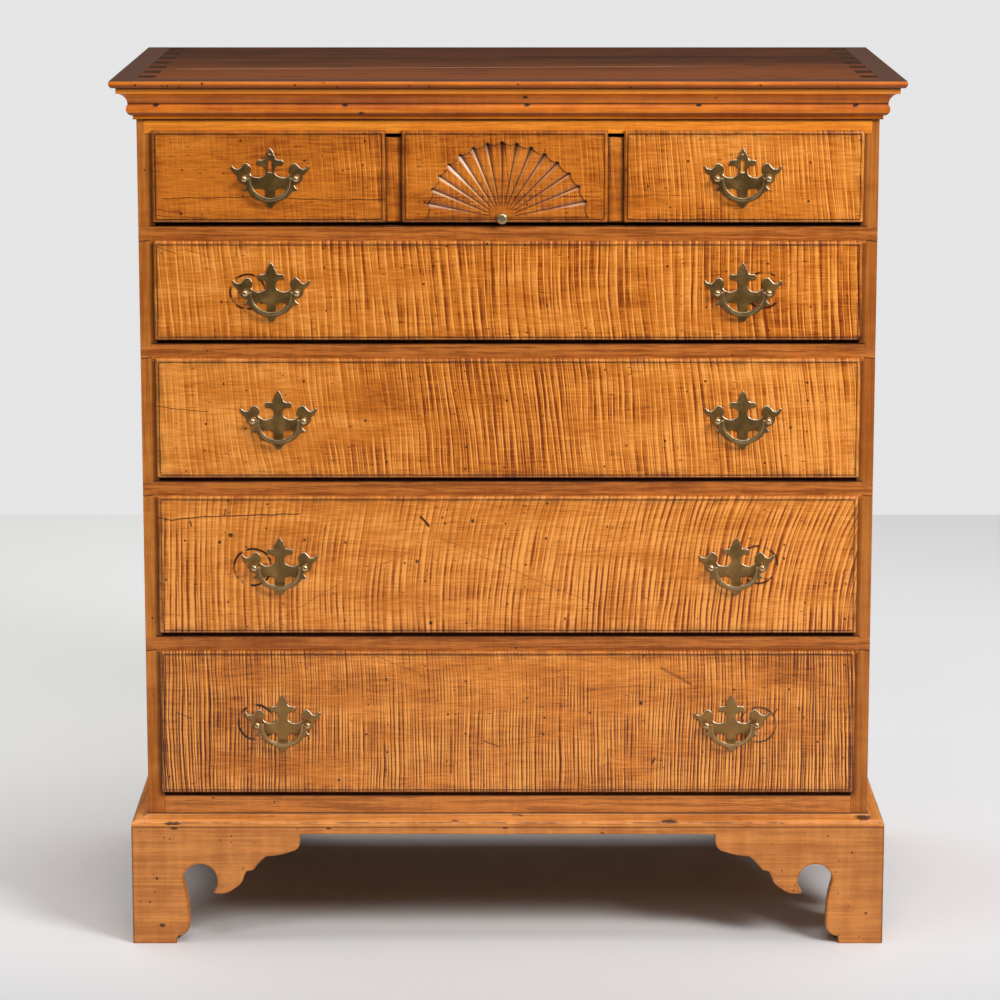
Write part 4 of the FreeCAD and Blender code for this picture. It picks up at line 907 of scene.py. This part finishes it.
plate_brass = aged_brass("plate_brass", plate_pale, 0.06, True)
bail_brass = aged_brass("bail_brass", turned_pale, 0.2, False)
post_brass = aged_brass("post_brass", turned_pale, 0.55, False)
for number in range(1, 6):
    body = f"drawer_{number}"
    eased(f"{body}_plates", body, plate_brass, 0.0008)
    dress(f"{body}_posts", post_brass)
    dress(f"{body}_bail_left", bail_brass)
    dress(f"{body}_bail_right", bail_brass)
dress("drawer_1_fan_knob", bail_brass)


# Studio: a pale floor that ends behind the chest against a pale wall colour, a soft lamp to the right
# of the camera, weaker ones to its left and over it, a wide one overhead, and a camera at the height
# of a standing person.
def pale_floor():
    """A pale grey floor, with painted light where the chest's shadow falls behind it on the left, and
    painted shade on the right and in front, where the lamps light it most.
    """
    material, place = begin("pale_floor")
    cloud = place.noise((0.6, 0.6, 0.6), 2.0)
    x, y = place.split()[:2]
    colour = place.stain(shade(231, 231, 232), shade(235, 235, 235), cloud)
    # Painted light over the chest's shadow on the left, and painted shade on the right and in front.
    colour = place.stain(colour, shade(248, 248, 247), x.rise(0.2, -0.5) * y.rise(0.1, 0.7) * 0.9)
    colour = place.stain(colour, shade(222, 223, 226), x.rise(0.3, 0.7) * y.rise(1.8, 0.6) * 0.8)
    colour = place.stain(colour, shade(197, 200, 204), y.rise(-0.15, -0.7) * 0.9)
    return varnish(material, colour, 0.7 + cloud * 0.1, cloud, 0.00001, 0.0, 0.1)


reach = 2.56
ground = bpy.data.meshes.new("studio_floor")
floor_corners = [(-reach, -reach, 0.0), (reach, -reach, 0.0), (reach, reach, 0.0), (-reach, reach, 0.0)]
ground.from_pydata(floor_corners, [], [(0, 1, 2, 3)])
ground.materials.append(pale_floor())
studio_floor = bpy.data.objects.new("studio_floor", ground)
bpy.context.scene.collection.objects.link(studio_floor)


def soft_lamp(name, spot, aim, size, power):
    """A rectangular lamp at a spot, turned towards what it lights."""
    data = bpy.data.lights.new(name, "AREA")
    data.shape = "RECTANGLE"
    data.size = size[0]
    data.size_y = size[1]
    data.energy = power
    lamp = bpy.data.objects.new(name, data)
    lamp.location = spot
    lamp.rotation_euler = (Vector(aim) - Vector(spot)).to_track_quat("-Z", "Y").to_euler()
    bpy.context.scene.collection.objects.link(lamp)


soft_lamp("right_lamp", (2.7, -3.0, 3.1), (0.0, -0.2, 0.5), (1.5, 1.3), 150.0)
soft_lamp("left_lamp", (-2.6, -3.6, 2.8), (0.0, -0.2, 0.5), (0.9, 1.2), 10.0)
soft_lamp("front_lamp", (0.2, -2.7, 3.8), (0.0, -0.2, 0.6), (1.8, 0.9), 38.0)
soft_lamp("overhead_lamp", (-0.5, 0.9, 4.6), (-0.5, 0.9, 0.0), (7.0, 5.0), 220.0)

world = bpy.data.worlds.new("studio")
world.use_nodes = True
bpy.context.scene.world = world
sky = world.node_tree
ray = sky.nodes.new("ShaderNodeLightPath")
seen = Finish(sky, ray.outputs["Is Camera Ray"])
lit = sky.nodes["Background"]
lit.inputs["Color"].default_value = (1.0, 0.99, 0.97, 1.0)
lit.inputs["Strength"].default_value = 0.06
wall = seen.node("ShaderNodeBackground", {}, {"Color": shade(229, 229, 230), "Strength": 1.0})
both = seen.node("ShaderNodeMixShader", {}, {0: seen, 1: Finish(sky, lit.outputs[0]), 2: wall})
sky.links.new(both.socket, sky.nodes["World Output"].inputs["Surface"])

lens = bpy.data.cameras.new("camera")
lens.lens = 139.65
lens.sensor_width = 36.0
camera = bpy.data.objects.new("camera", lens)
tilt = 10.94
camera.location = (-0.00984, -5.01584, 1.49426)
camera.rotation_euler = (math.radians(90.0 - tilt), 0.0, 0.0)
bpy.context.scene.collection.objects.link(camera)
bpy.context.scene.camera = camera
bpy.context.scene.view_settings.view_transform = "Standard"
